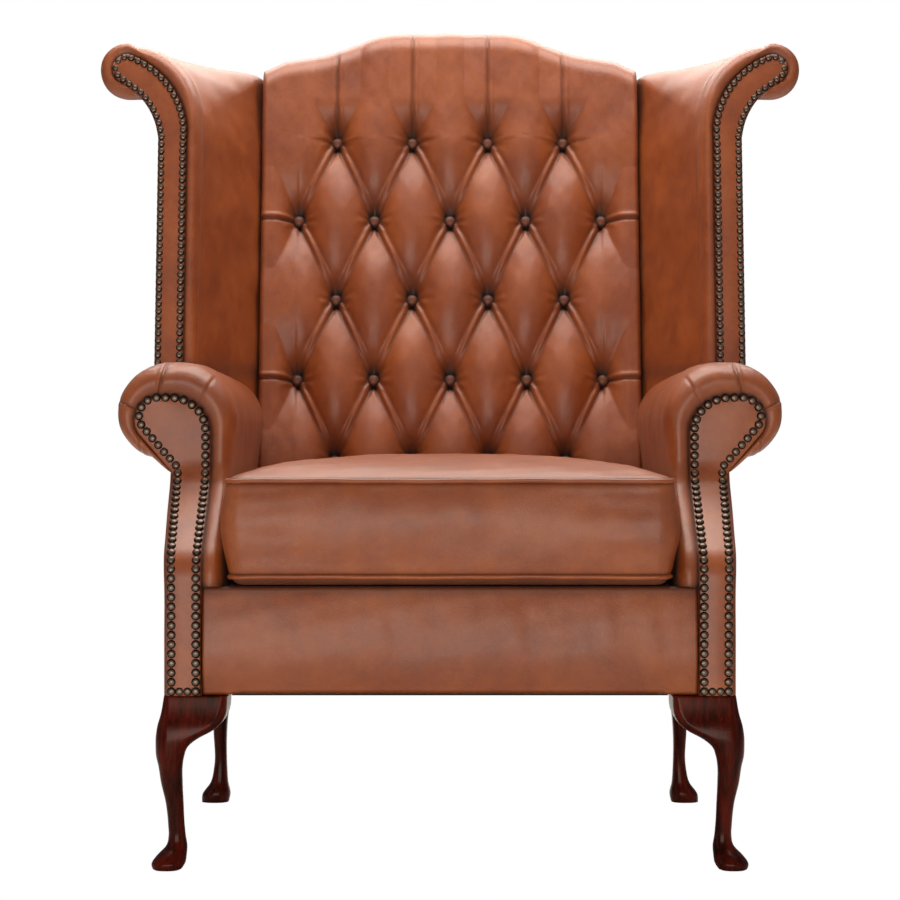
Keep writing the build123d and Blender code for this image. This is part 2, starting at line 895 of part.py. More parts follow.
def post_foot_place():
    """The middle of the right back post's foot."""
    return post_foot_outer - post_wide / 2, rear_at(leg_height, panel_thick + back_board_thick / 2)


def back_post():
    """The raked post, sawn level at its foot."""
    points = [
        (post_foot_outer - post_wide, -post_wide),
        (post_foot_outer, -post_wide),
        (post_foot_outer, 0),
        (post_head_outer, up(post_top)),
        (post_head_outer - post_wide, up(post_top)),
        (post_foot_outer - post_wide, 0),
    ]
    post = prism(back_plane(panel_thick), points, back_board_thick)
    return post - box_between((0, 0, 0), (body_half, 2 * body_depth, leg_height))


def back_rail():
    """The seat frame's back rail: raked with the posts, and level on its top for the webbing."""
    points = [
        (rear_at(leg_height, panel_thick), leg_height),
        (rear_at(rail_top, panel_thick), rail_top),
        (rear_at(rail_top, post_face), rail_top),
        (rear_at(leg_height, post_face), leg_height),
    ]
    half = post_foot_outer - post_wide / 2
    rail = Pos(-half, 0, 0) * prism(Plane.YZ, points, 2 * half)
    for post in both_sides(back_post()).values():
        rail -= post
    return rail


def back_board(low, high):
    """A board between the back posts, from one height to another."""
    points = [
        (-post_inner(low), up(low)),
        (post_inner(low), up(low)),
        (post_inner(high), up(high)),
        (-post_inner(high), up(high)),
    ]
    return prism(back_plane(panel_thick), points, back_board_thick)


def top_rail(columns):
    """The shaped rail between the posts' heads, under the rolled edge of the pad."""
    half = post_inner(post_top)
    foot = up(top_rail_foot)
    line = [(across, crest(across) - pad_edge) for across, drop in columns if abs(across) < half]
    points = [(-half, foot), (half, foot), (half, line[-1][1])] + line[::-1] + [(-half, line[0][1])]
    return prism(back_plane(panel_thick), points, back_board_thick)


def back_webbing():
    """Level straps across the posts' faces."""
    room = button_top_height - lower_rail_top
    straps = []
    for k in range(back_strap_count):
        height = lower_rail_top + room * (k + 0.5) / back_strap_count
        reach = post_inner(height) + post_wide / 2
        low = up(height) - strap_wide / 2
        points = [(-reach, low), (reach, low), (reach, low + strap_wide), (-reach, low + strap_wide)]
        straps.append(prism(back_plane(post_face), points, strap_thick).solid())
    return Compound(straps)


def outside_back(columns):
    """The outside back panel: as wide as the body below the arms, then drawn in to the wings' rear edges."""
    line = [(across, crest(across)) for across, drop in columns]
    neck = up(wing_rear_neck_height)
    shoulder = up(wing_top - wing_rear_scroll_radius)
    waist = up(arm_notch_height)
    right = [(back_base_half, 0), (back_base_half, waist), (back_top_half, neck), (back_top_half, shoulder)]
    points = right + line[::-1] + [(-across, rise) for across, rise in right[::-1]]
    return prism(back_plane(0), points, panel_thick)


def back_buttons():
    """Every button, with its cone down in its pocket."""
    head = button_solid()
    floor = back_plane(pad_floor + soft_gap)
    return Compound([head.moved(floor.location * Pos(*place)) for place in button_places()])


# Seat frame

def front_rail():
    half = side_rail_outer - stump_wide
    return box_between((-half, rail_front, leg_height), (half, rail_rear, rail_top))


def side_rail():
    low = (side_rail_inner, rail_rear, leg_height)
    high = (side_rail_outer, body_depth + overrun, rail_top + strap_thick)
    return box_between(low, high) - back_region(-2 * overrun, post_face, body_half)


def front_post():
    """The arm stump: a board shaped to the swept front, from the leg to the arm rail."""
    outline = front_curve(-panel_thick, arm_rail_foot).edges() + Polyline(
        (arm_setback + panel_thick, arm_rail_foot),
        (arm_setback + stump_deep, arm_rail_foot),
        (arm_setback + stump_deep, sweep_end - stump_deep / 4),
        (rail_rear, sweep_start - stump_deep / 4),
        (rail_rear, leg_height),
        (panel_thick, leg_height),
    ).edges()
    stump = extrude(Plane.YZ * make_face(outline), amount=stump_wide)
    return Pos(side_rail_outer - stump_wide, 0, 0) * stump


def arm_rail():
    """The board that the arm's roll is built on, from the stump to the back post."""
    low = (side_rail_inner, arm_setback + panel_thick, arm_rail_foot)
    high = (side_rail_inner + arm_rail_wide, body_depth + 4 * overrun, arm_rail_foot + arm_rail_high)
    return box_between(low, high) - back_region(-4 * overrun, post_face, 2 * body_half)


def corner_blocks():
    """A triangular block in each corner of the seat frame."""
    rear = rear_at(leg_height + block_high, post_face)
    blocks = []
    for edge, side in [(rail_rear, 1), (rear, -1)]:
        points = [
            (side_rail_inner, edge),
            (side_rail_inner - block_side, edge),
            (side_rail_inner, edge + side * block_side),
        ]
        block = prism(Plane.XY.offset(leg_height), points, block_high)
        block -= back_region(-overrun, post_face, body_half)
        blocks += [both.solid() for both in both_sides(block).values()]
    return Compound(blocks)


def seat_webbing():
    """Straps from front to back on the rails, and a second set across them on the side rails."""
    rear = rear_at(rail_top, post_face)
    straps = []
    front = rail_front + border_hook
    room = 2 * (side_rail_inner - strap_wide)
    for k in range(seat_strap_count):
        middle = -room / 2 + room * (k + 0.5) / seat_strap_count
        low = (middle - strap_wide / 2, front, rail_top)
        high = (middle + strap_wide / 2, rear + back_board_thick / 2, rail_top + strap_thick)
        straps.append(box_between(low, high))
    room = rear - rail_rear
    for k in range(cross_strap_count):
        middle = rail_rear + room * (k + 0.5) / cross_strap_count
        half = side_rail_inner + rail_thick / 2
        low = (-half, middle - strap_wide / 2, rail_top + strap_thick)
        high = (half, middle + strap_wide / 2, rail_top + 2 * strap_thick)
        straps.append(box_between(low, high))
    return Compound([strap.solid() for strap in straps])


def seat_deck():
    """The padded platform under the cushion."""
    low = (-arm_inner + soft_gap, rail_front + border_hook, deck_floor)
    high = (arm_inner - soft_gap, rear_at(deck_floor, post_face), deck_top)
    return box_between(low, high)


def front_border():
    """The border: a softly bowed face over the front rail, hooked over the rail's top."""
    belly = leg_height + border_high * border_belly_share
    hook = rail_front + border_hook
    outline = [
        Line((rail_front, leg_height), (border_bulge, leg_height)),
        ThreePointArc((border_bulge, leg_height), (-border_bulge / 2, belly), (border_bulge, border_top)),
        Line((border_bulge, border_top), (hook, border_top)),
        Line((hook, border_top), (hook, rail_top)),
        Line((hook, rail_top), (rail_front, rail_top)),
        Line((rail_front, rail_top), (rail_front, leg_height)),
    ]
    wide = 2 * (border_half - soft_gap)
    return Pos(-wide / 2, 0, 0) * extrude(Plane.YZ * make_face(outline), amount=wide)


def dust_cover():
    """The cloth stapled under the rails, cut away at the legs."""
    half = body_half - rail_thick / 2
    rear = rear_at(leg_height, panel_thick)
    low = (-half, rail_front / 2, leg_height - cloth_thick)
    cover = box_between(low, (half, rear - rail_thick / 2, leg_height))
    front = 2 * (leg_top + soft_gap)
    back = 2 * (back_leg_wide + soft_gap)
    back_deep = 2 * (back_leg_deep + soft_gap)
    for side in [-1, 1]:
        cover -= Pos(side * body_half, 0, leg_height) * Box(front, front, overrun)
        cover -= Pos(side * back_base_half, body_depth, leg_height) * Box(back, back_deep, overrun)
    return cover


def arm_facing():
    """The thin scrolled facing, laid on the swept front."""
    ring = facing_ring(facing_outer)
    rings = [on_front([(place.X, place.Y, -lift) for place in ring]) for lift in [0, facing_thick]]
    return skin(rings, (zipped, zipped))


def seat_hollow():
    """The room inside the arms' feet for the rails, the deck and the border."""
    foot = leg_height - overrun
    under = box_between((0, rail_rear, foot), (side_rail_outer + panel_thick, 2 * body_depth, deck_floor))
    return under + box_between((0, -overrun, foot), (border_half, rail_rear + border_hook, border_top))


# Wings

def wing_facing_ring(limit):
    """Points round the wing's facing that answer those of the wing's section, out to a limit."""
    edges = wing_facing_outline(0)
    points = points_on(edges[:3], wing_steps)
    neck = wing_rise(wing_neck_height) + soft_gap
    under = edges[3] @ 0
    bend = edges[4]
    reach = [under] + [bend @ (k / (wing_steps[-1] - 1)) for k in range(wing_steps[-1] - 1)]
    step = [Vector(wing_outer, neck), Vector(limit, neck - panel_thick)]
    return points + reach + step + [Vector(limit, (edges[5] @ 1).Y)]


def wing_body(inset):
    """The whole wing: a front that rolls over to the facing, and a narrow rear on the raked plane."""
    whole = wing_section(
        wing_rise, wing_outer, wing_outer, wing_inner,
        wing_scroll_x, wing_scroll_radius, wing_neck_height, inset,
    )
    rear = wing_section(
        up, back_half_at(wing_foot_height), back_top_half, wing_rear_inner,
        wing_rear_scroll_x, wing_rear_scroll_radius, wing_rear_neck_height, inset,
    )
    facing = wing_facing_ring(wing_outer - panel_thick - soft_gap)
    rings = [on_plane(back_plane(panel_thick), rear)]
    for turn in roll_turns[::-1]:
        ring = rolled(whole, facing, turn, wing_roll_deep_share, wing_roll_bulge_share)
        rings.append([wing_plane(0).from_local_coords((x, rise, -behind)) for x, rise, behind in ring])
    return skin(rings)


def outside_wing_panel():
    front = wing_panel_section(wing_rise, wing_outer, wing_outer, wing_neck_height)
    rear = wing_panel_section(up, back_half_at(wing_foot_height), back_top_half, wing_rear_neck_height)
    return skin([on_plane(back_plane(panel_thick), rear), on_plane(wing_plane(0), front)], turned=[0, 1])


def wing_facing():
    """The thin scrolled facing, flat on the wing's leaning front."""
    ring = wing_facing_ring(wing_outer)
    return skin([on_plane(wing_plane(0), ring), on_plane(wing_plane(facing_thick), ring)])


def wing_post():
    """The upright that shapes the wing's front, standing on the arm rail."""
    middle = side_rail_inner + arm_rail_wide - wing_post_wide / 2
    foot = (arm_rail_foot + arm_rail_high - wing_low_height) / lean_cos
    top = wing_rise(wing_neck_height)
    half = wing_post_wide / 2
    points = [(middle - half, foot), (middle + half, foot), (middle + half, top), (middle - half, top)]
    post = prism(wing_plane(-wing_pad - wing_post_deep), points, wing_post_deep)
    return post - box_between((0, 0, 0), (body_depth, body_depth, arm_rail_foot + arm_rail_high))


def wing_rail():
    """The rail from the wing post's head to the back post."""
    middle = side_rail_inner + arm_rail_wide - wing_post_wide / 2
    half = wing_post_wide / 2
    height = wing_neck_height - wing_rail_high / 2
    front = wing_front_high + wing_pad
    rear = rear_at(wing_neck_height, 0)
    inner = post_inner(wing_neck_height) - half / 2
    points = [
        (middle - half, front),
        (middle + half, front),
        (inner + wing_post_wide, rear),
        (inner, rear),
    ]
    rail = prism(Plane.XY.offset(height - wing_rail_high), points, wing_rail_high)
    return rail - back_region(-2 * overrun, post_face, body_half) - wing_post()


# Legs' bolts

def leg_bolt(place, length):
    """A plain bolt that stands in the leg's top and in the post above it."""
    return Pos(place[0], place[1], leg_height - bolt_in_leg) * Cylinder(
        bolt_radius, length, align=(Align.CENTER, Align.CENTER, Align.MIN)
    )


def bolt_bore(place):
    return Pos(place[0], place[1], leg_height - bolt_in_leg - soft_gap) * Cylinder(
        bolt_radius + soft_gap, bolt_length + 2 * soft_gap, align=(Align.CENTER, Align.CENTER, Align.MIN)
    )


# The chair put together

columns = back_columns()
front_bolt = (side_rail_outer - stump_wide / 2, (panel_thick + rail_rear) / 2)
rear_bolt = post_foot_place()

outside_arm = outside_arm_panel()
frame_right = {
    "front_post": front_post() - outside_arm,
    "back_post": back_post(),
    "side_rail": side_rail() - outside_arm,
    "arm_rail": arm_rail() - back_webbing(),
    "wing_post": wing_post(),
    "wing_rail": wing_rail() - back_webbing(),
}

behind_pad = back_region(panel_thick, back_thick, pad_half + soft_gap)
arm_pad = arm_body(panel_thick + soft_gap) - behind_pad - seat_hollow()
wing_cushioning = wing_body(panel_thick + soft_gap) - arm_body(0) - behind_pad
cross_rails = {
    "front_rail": front_rail(),
    "back_rail": back_rail(),
    "lower_back_rail": back_board(lower_rail_foot, lower_rail_top),
    "top_rail": top_rail(columns),
}
for piece in list(frame_right.values()) + list(cross_rails.values()) + [back_webbing()]:
    arm_pad -= piece
    wing_cushioning -= piece
frame_right["front_post"] -= bolt_bore(front_bolt)
frame_right["back_post"] -= bolt_bore(rear_bolt)

covers_right = {
    "arm_pad": arm_pad,
    "wing_pad": wing_cushioning,
    "outside_arm": outside_arm,
    "outside_wing": outside_wing_panel() - arm_body(0) - frame_right["back_post"],
    "arm_facing": arm_facing(),
    "wing_facing": wing_facing() - arm_body(0),
    "arm_nails": Compound(arm_nails()),
    "wing_nails": Compound(wing_nails()),
}

legs_right = {
    "front_leg": front_leg() - bolt_bore(front_bolt),
    "back_leg": back_leg() - bolt_bore(rear_bolt),
}

cushion_core = cushion_form(leather_thick + soft_gap)
cushion_cover = cushion_form(0) - cushion_form(leather_thick)

nodes = cross_rails | {
    "corner_blocks": corner_blocks(),
    "seat_webbing": seat_webbing(),
    "back_webbing": back_webbing(),
    "seat_deck": seat_deck(),
    "dust_cover": dust_cover(),
    "back_pad": solid_of(back_pad_faces(columns)),
    "back_buttons": back_buttons(),
    "outside_back": outside_back(columns),
    "front_border": front_border(),
    "cushion_core": cushion_core,
    "cushion_cover": cushion_cover,
    "top_piping": piping_loop(cushion_top),
    "bottom_piping": piping_loop(cushion_low),
}
bolts = []
for place in [front_bolt, rear_bolt]:
    bolts += [bolt.solid() for bolt in both_sides(leg_bolt(place, bolt_length)).values()]
nodes["leg_bolts"] = Compound(bolts)
for group in [frame_right, covers_right, legs_right]:
    for name, right in group.items():
        for side, piece in both_sides(right).items():
            nodes[side + "_" + name] = piece

# The footprint's centre goes to the origin.
boxes = [piece.bounding_box() for piece in nodes.values()]
middle = (min(box.min.Y for box in boxes) + max(box.max.Y for box in boxes)) / 2
os.makedirs("parts", exist_ok=True)
for name, piece in nodes.items():
    export_step(Pos(0, -middle, 0) * piece, "parts/" + name + ".step")
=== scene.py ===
import math
import bpy
import numpy as np
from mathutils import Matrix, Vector


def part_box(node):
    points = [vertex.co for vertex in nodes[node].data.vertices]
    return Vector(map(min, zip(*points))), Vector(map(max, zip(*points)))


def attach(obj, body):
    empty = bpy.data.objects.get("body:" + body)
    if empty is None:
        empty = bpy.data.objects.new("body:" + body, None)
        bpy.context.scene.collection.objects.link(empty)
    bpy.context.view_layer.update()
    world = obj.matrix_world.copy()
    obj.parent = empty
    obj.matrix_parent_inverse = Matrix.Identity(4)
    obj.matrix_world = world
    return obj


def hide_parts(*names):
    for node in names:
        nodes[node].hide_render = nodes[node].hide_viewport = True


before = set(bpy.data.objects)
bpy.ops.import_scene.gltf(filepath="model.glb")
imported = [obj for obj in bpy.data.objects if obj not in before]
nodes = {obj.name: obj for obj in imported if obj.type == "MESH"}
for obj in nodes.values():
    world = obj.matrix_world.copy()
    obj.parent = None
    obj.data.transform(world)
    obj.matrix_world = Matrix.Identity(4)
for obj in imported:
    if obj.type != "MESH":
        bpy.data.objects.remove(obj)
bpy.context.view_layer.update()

# Shapes are written in millimetres: x to the right, depth back from the border's face, z up.
mm = 0.001
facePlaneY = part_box("left_outside_arm")[0].y
body = {
    "foot": 196, "rear": 605, "rake": 12,  # the back plane's foot and its lean in degrees
    "half": 322, "rearHalf": 318, "headHalf": 290,  # half widths: front, rear, rear at the wings' necks
    "armTop": 446, "neck": 950,  # between these heights the rear narrows
    "padHalf": 258.3, "padFront": 98, "padFade": 22,  # the room kept for the back pad
}
rake = math.radians(body["rake"])
print("stage: frame loaded")


def toRow(x, depth, z):
    # millimetres to metres, with depth counted from the border's face plane
    x, depth, z = np.broadcast_arrays(np.asarray(x, float), depth, z)
    return np.stack([x * mm, depth * mm + facePlaneY, z * mm], -1)


def smoothStep(value):
    # 3v squared minus 2v cubed, with v held between 0 and 1
    v = np.clip(value, 0, 1)
    return v * v * (3 - 2 * v)


def bell(distance, width):
    # e to the minus (distance over width) squared
    return np.exp(-(distance / width) ** 2)


def ripple(points, seed, wave, count=7):
    # a sum of sine waves in random directions, with lengths round the given wave, about one unit high
    rng = np.random.default_rng(seed)
    total = 0
    for _ in range(count):
        way = rng.normal(size=points.shape[-1])
        way /= np.linalg.norm(way)
        length = wave * rng.uniform(0.6, 1.7)
        total = total + np.sin(points @ way * 2 * np.pi / length + rng.uniform(0, 6.28))
    return total / count**0.5


def waves(points, rows):
    # the sum of strength times ripple over rows of strength, seed and wave length
    return sum(strength * ripple(points, seed, wave) for strength, seed, wave in rows)


def between(first, last, share):
    # first plus share times the way to last
    return first + (last - first) * share


def lineRun(start, end, count):
    # count points along a straight line from start, the end left out
    share = np.arange(count)[:, None] / count
    return between(np.array(start, float), np.array(end, float), share)


def arcRun(centre, radius, start, sweep, count):
    # count points round a centre, at the radius times cosine and sine of even angles, the end left out
    angle = np.radians(start + sweep * np.arange(count) / count)
    return np.stack([centre[0] + radius * np.cos(angle), centre[1] + radius * np.sin(angle)], 1)


def threePointRun(first, middle, last, count):
    # count points of the circle whose centre is as far from all three points, the end left out
    a, b, c = (np.array(p, float) for p in (first, middle, last))
    left = 2 * np.array([b - a, c - a])
    right = np.array([b @ b - a @ a, c @ c - a @ a])
    centre = np.linalg.solve(left, right)
    turns = [math.atan2(*(p - centre)[::-1]) for p in (a, b, c)]
    sweep = (turns[2] - turns[0]) % (2 * np.pi)
    if (turns[1] - turns[0]) % (2 * np.pi) > sweep:
        sweep -= 2 * np.pi
    return arcRun(centre, np.linalg.norm(a - centre), math.degrees(turns[0]), math.degrees(sweep), count)


def smoothTable(at, rows):
    # cubic curves between a table's rows (first column rising), with the slopes of the neighbours
    rows = np.array(rows, float)
    knots, values = rows[:, 0], rows[:, 1:]
    slopes = np.gradient(values, knots, axis=0)
    at = np.clip(at, knots[0], knots[-1])
    k = np.clip(np.searchsorted(knots, at) - 1, 0, len(knots) - 2)
    wide = (knots[k + 1] - knots[k])[:, None]
    t = ((at - knots[k]) / wide[:, 0])[:, None]
    return (
        values[k] * (2 * t**3 - 3 * t**2 + 1) + slopes[k] * wide * (t**3 - 2 * t**2 + t)
        + values[k + 1] * (3 * t**2 - 2 * t**3) + slopes[k + 1] * wide * (t**3 - t**2)
    )


def closedVolume(points, faces):
    # six times the volume: the sum over fans of triangles of a times (b cross c)
    volume = 0
    for size in {len(face) for face in faces}:
        same = np.array([face for face in faces if len(face) == size])
        for k in range(1, size - 1):
            a, b, c = points[same[:, 0]], points[same[:, k]], points[same[:, k + 1]]
            volume += np.einsum("ij,ij->i", a, np.cross(b, c)).sum()
    return volume


def meshObject(name, points, faces, shade, flat=0):
    # faces are turned outward by the sign of the closed volume; the last faces, flat in number, stay flat
    if closedVolume(points, faces) < 0:
        faces = [face[::-1] for face in faces]
    mesh = bpy.data.meshes.new(name)
    mesh.from_pydata(points.tolist(), [], faces)
    smooth = np.ones(len(faces), bool)
    smooth[len(faces) - flat:] = False
    mesh.polygons.foreach_set("use_smooth", smooth)
    # the shade attribute carries the piece's painted shade for its finish
    values = np.ravel(shade).astype(np.float32)
    mesh.attributes.new("shade", "FLOAT", "POINT").data.foreach_set("value", values)
    mesh.update()
    piece = bpy.data.objects.new(name, mesh)
    bpy.context.scene.collection.objects.link(piece)
    return piece


def ringsToFaces(rows, around, start=0, closedRows=False):
    # quads between neighbouring rings of points; every ring closes on itself
    index = np.arange(rows * around).reshape(rows, around) + start
    over = np.roll(index, -1, 1)
    if closedRows:
        low, high, lowOver, highOver = index, np.roll(index, -1, 0), over, np.roll(over, -1, 0)
    else:
        low, high, lowOver, highOver = index[:-1], index[1:], over[:-1], over[1:]
    return np.stack([low, lowOver, highOver, high], -1).reshape(-1, 4)


def poleFaces(ring, pole):
    # triangles from a ring of point numbers to the number of one point
    return np.stack([ring, np.roll(ring, -1), np.full(len(ring), pole)], -1).tolist()


def ringPiece(name, rings, caps=("plane", "plane"), shade=0.0, closedRows=False):
    # a closed surface over rings of points, with each end a plane, a zip across the ring, or a pole
    rows, around = rings.shape[:2]
    shade = np.broadcast_to(shade, (rows, around))
    points, values = [rings.reshape(-1, 3)], [shade.ravel()]
    faces, flat, pole = ringsToFaces(rows, around, closedRows=closedRows).tolist(), 0, rows * around
    for end, cap in zip((0, rows - 1), () if closedRows else caps):
        ring = np.arange(around) + end * around
        if end == 0:
            ring = ring[::-1]
        if cap == "pole":
            points.append(rings[end].mean(0)[None])
            values.append([shade[end].mean()])
            faces = poleFaces(ring, pole) + faces
            pole += 1
            continue
        k = np.arange(around // 2 - 1)
        across = np.stack([ring[k], ring[k + 1], ring[around - 2 - k], ring[around - 1 - k]], -1)
        made = across.tolist() if cap == "zip" else [ring.tolist()]
        faces, flat = faces + made, flat + len(made)
    return meshObject(name, np.concatenate(points), faces, np.concatenate(values), flat)


def ringNormals(rings, centre):
    # unit normals from the cross product of the grid's two directions, turned away from the centre
    along = np.gradient(rings, axis=0)
    around = np.roll(rings, -1, 1) - np.roll(rings, 1, 1)
    normal = np.cross(around, along)
    normal = normal / np.maximum(np.linalg.norm(normal, axis=-1, keepdims=True), 1e-12)
    return normal * np.sign(np.sum(normal * (rings - centre), -1).mean())


def mirrored(points):
    # the points with x turned to minus x
    return points * np.array([-1, 1, 1])


stripShape = {
    "corner": np.array([0, 0.08, 0.3, 0.6, 1.0]),  # shares of the rounded edge, crowded at the rim
    "under": np.array([0.75, 0.5, 0.25]),  # shares across the hidden rear face
    # painted shade along the rims, where the strip meets its neighbours: its strength and width
    "chordShare": 0.42, "dark": 0.6, "darkWide": 1.4,
}


def strip(first, last, lay, thick, puff=0, edge=2.4, across=10, dent=None):
    # a thin padded piece between two edge lines: a quarter round, then thick plus puff times a half sine;
    # with painted shade along both rims
    chord = np.linalg.norm(last - first, axis=1)
    rounding = np.minimum(edge, stripShape["chordShare"] * chord)
    corner = stripShape["corner"]
    rounded = [thick * math.sqrt(1 - (1 - q) ** 2) + 0 * chord for q in corner]
    inner = np.arange(1, across) / across
    run = [rounding * q for q in corner] + [rounding + (chord - 2 * rounding) * share for share in inner]
    run = np.array(run + [chord - rounding * q for q in corner[::-1]]).T
    crown = [thick + puff * np.sin(np.pi * share) + 0 * chord for share in inner]
    lift = np.array(rounded + crown + rounded[::-1]).T
    run = np.concatenate([run, chord[:, None] * stripShape["under"]], 1)
    lift = np.concatenate([lift, np.zeros((len(chord), len(stripShape["under"])))], 1)
    share = run / np.maximum(chord, 1e-9)[:, None]
    flat = between(first[:, None], last[:, None], share[..., None])
    if dent is not None:
        lift = np.where(lift > 0, lift - dent(flat), lift)
    rimGap = np.minimum(run, chord[:, None] - run)
    return lay(flat, lift), stripShape["dark"] * bell(rimGap, stripShape["darkWide"])


def tone(red, green, blue):
    # an 8-bit screen colour as the linear values that the nodes take
    share = np.array([red, green, blue]) / 255
    linear = np.where(share <= 0.04045, share / 12.92, ((share + 0.055) / 1.055) ** 2.4)
    return (*(float(v) for v in linear), 1.0)


def put(tree, kind, settings=None, **inputs):
    # one node, with its inputs set or linked; i2 means the third input, another key the input's name
    made = tree.nodes.new(kind)
    for key, value in (settings or {}).items():
        setattr(made, key, value)
    for key, value in inputs.items():
        numbered = key[0] == "i" and key[1:].isdigit()
        socket = made.inputs[int(key[1:]) if numbered else key.replace("_", " ")]
        if isinstance(value, bpy.types.NodeSocket):
            tree.links.new(value, socket)
        else:
            socket.default_value = value
    return made


def blended(tree, share, first, second):
    # first and second mixed by share
    settings = {"data_type": "RGBA", "blend_type": "MIX"}
    return put(tree, "ShaderNodeMix", settings, i0=share, i6=first, i7=second).outputs[2]


def sums(tree, operation, *values):
    # one Math node over the values: MULTIPLY_ADD is first times second plus third
    inputs = {"i" + str(number): value for number, value in enumerate(values)}
    return put(tree, "ShaderNodeMath", {"operation": operation}, **inputs).outputs[0]


def ranged(tree, value, low, high, first=0.0, second=1.0):
    # value's run from low to high, smoothly mapped to first..second
    return put(
        tree, "ShaderNodeMapRange", {"interpolation_type": "SMOOTHSTEP"},
        i0=value, i1=low, i2=high, i3=first, i4=second,
    ).outputs[0]


def noise(tree, place, scale, detail=4.0, rough=0.55, twist=0.0):
    # a Noise Texture's value: octaves of noise, each at twice the scale and rough times the strength
    return put(
        tree, "ShaderNodeTexNoise", None,
        Vector=place, Scale=scale, Detail=detail, Roughness=rough, Distortion=twist,
    ).outputs["Fac"]


colourSocket, valueSocket, vectorSocket = "NodeSocketColor", "NodeSocketFloat", "NodeSocketVector"


def newGroup(name, takes):
    # an empty node group with the named inputs and a finish's three outputs
    group = bpy.data.node_groups.new(name, "ShaderNodeTree")
    for label, kind, value in [("Vector", vectorSocket, None)] + takes:
        socket = group.interface.new_socket(name=label, in_out="INPUT", socket_type=kind)
        if value is not None:
            socket.default_value = value
    for label, kind in (("Color", colourSocket), ("Roughness", valueSocket), ("Height", valueSocket)):
        group.interface.new_socket(name=label, in_out="OUTPUT", socket_type=kind)
    return group, group.nodes.new("NodeGroupInput").outputs, group.nodes.new("NodeGroupOutput").inputs


def giveOut(group, gives, colour, rough, height):
    # a finish's three results linked to the group's outputs
    for label, result in (("Color", colour), ("Roughness", rough), ("Height", height)):
        group.links.new(result, gives[label])


leather = {
    # the last tone is painted shade, mixed in by the shade attribute
    "light": tone(166, 86, 31), "mid": tone(148, 70, 19), "dark": tone(122, 52, 12), "crease": tone(30, 9, 4),
    "clouds": 11.0, "blots": 48.0, "specks": 210.0, "grain": 620.0,  # scales, per metre
    "rough": 0.4, "creaseRough": 0.3, "blotRough": 0.16,
}


def leatherGroup():
    # colour: cloudy blotches from dark to light, then painted shade: darkest where the shade attribute paints
    # shade into creases, pockets and joins
    tones = ("light", "mid", "dark", "crease")
    group, takes, gives = newGroup(
        "leather look", [("Shade", valueSocket, 0.0), ("Grain", valueSocket, leather["grain"])]
        + [(key, colourSocket, leather[key]) for key in tones],
    )
    place, shade = takes["Vector"], takes["Shade"]
    light, mid, dark, crease = (takes[key] for key in tones)
    clouds = noise(group, place, leather["clouds"], 5.0, 0.6, 0.5)
    blots = noise(group, place, leather["blots"], 6.0, 0.68, 0.3)
    specks = noise(group, place, leather["specks"], 4.0, 0.6)
    fine = sums(group, "MULTIPLY_ADD", blots, 0.33, sums(group, "MULTIPLY", specks, 0.12))
    mix = sums(group, "MULTIPLY_ADD", clouds, 0.55, fine)
    colour = blended(group, ranged(group, mix, 0.3, 0.56), dark, mid)
    colour = blended(group, ranged(group, mix, 0.48, 0.74), colour, light)
    colour = blended(group, ranged(group, specks, 0.58, 0.8, 0.0, 0.22), colour, dark)
    # painted shade: toward the near-black brown as far as the shade attribute says
    colour = blended(group, shade, colour, crease)
    cells = put(
        group, "ShaderNodeTexVoronoi", {"feature": "DISTANCE_TO_EDGE"}, Vector=place, Scale=takes["Grain"],
    ).outputs["Distance"]
    lumps = sums(group, "MULTIPLY_ADD", specks, 0.45, sums(group, "MULTIPLY", blots, 0.35))
    height = sums(group, "MULTIPLY_ADD", ranged(group, cells, 0.0, 0.22), 0.3, lumps)
    wearAndShade = sums(group, "MULTIPLY_ADD", shade, leather["creaseRough"], leather["rough"])
    giveOut(group, gives, colour, sums(group, "MULTIPLY_ADD", blots, leather["blotRough"], wearAndShade), height)
    return group


timber = {
    "light": tone(84, 19, 7), "dark": tone(34, 8, 4), "gloss": 0.2,
    "fibres": 240.0, "bands": 46.0, "stretch": 0.09,
}


def timberGroup():
    # colour: fibres and bands, which are noise stretched along the piece's height
    group, takes, gives = newGroup(
        "timber look",
        [("light", colourSocket, timber["light"]), ("dark", colourSocket, timber["dark"]),
         ("Gloss", valueSocket, timber["gloss"])],
    )
    stretched = put(
        group, "ShaderNodeVectorMath", {"operation": "MULTIPLY"},
        i0=takes["Vector"], i1=(1.0, 1.0, timber["stretch"]),
    ).outputs[0]
    fibres = noise(group, stretched, timber["fibres"], 6.0, 0.62, 0.2)
    bands = noise(group, stretched, timber["bands"], 3.0, 0.5, 0.8)
    mix = sums(group, "MULTIPLY_ADD", fibres, 0.45, sums(group, "MULTIPLY", bands, 0.55))
    colour = blended(group, ranged(group, mix, 0.36, 0.64), takes["dark"], takes["light"])
    giveOut(group, gives, colour, sums(group, "MULTIPLY_ADD", fibres, 0.12, takes["Gloss"]), fibres)
    return group


weave = {
    "light": tone(176, 156, 118), "dark": tone(110, 92, 62), "threads": 900.0, "fuzz": 700.0, "rough": 0.8,
}


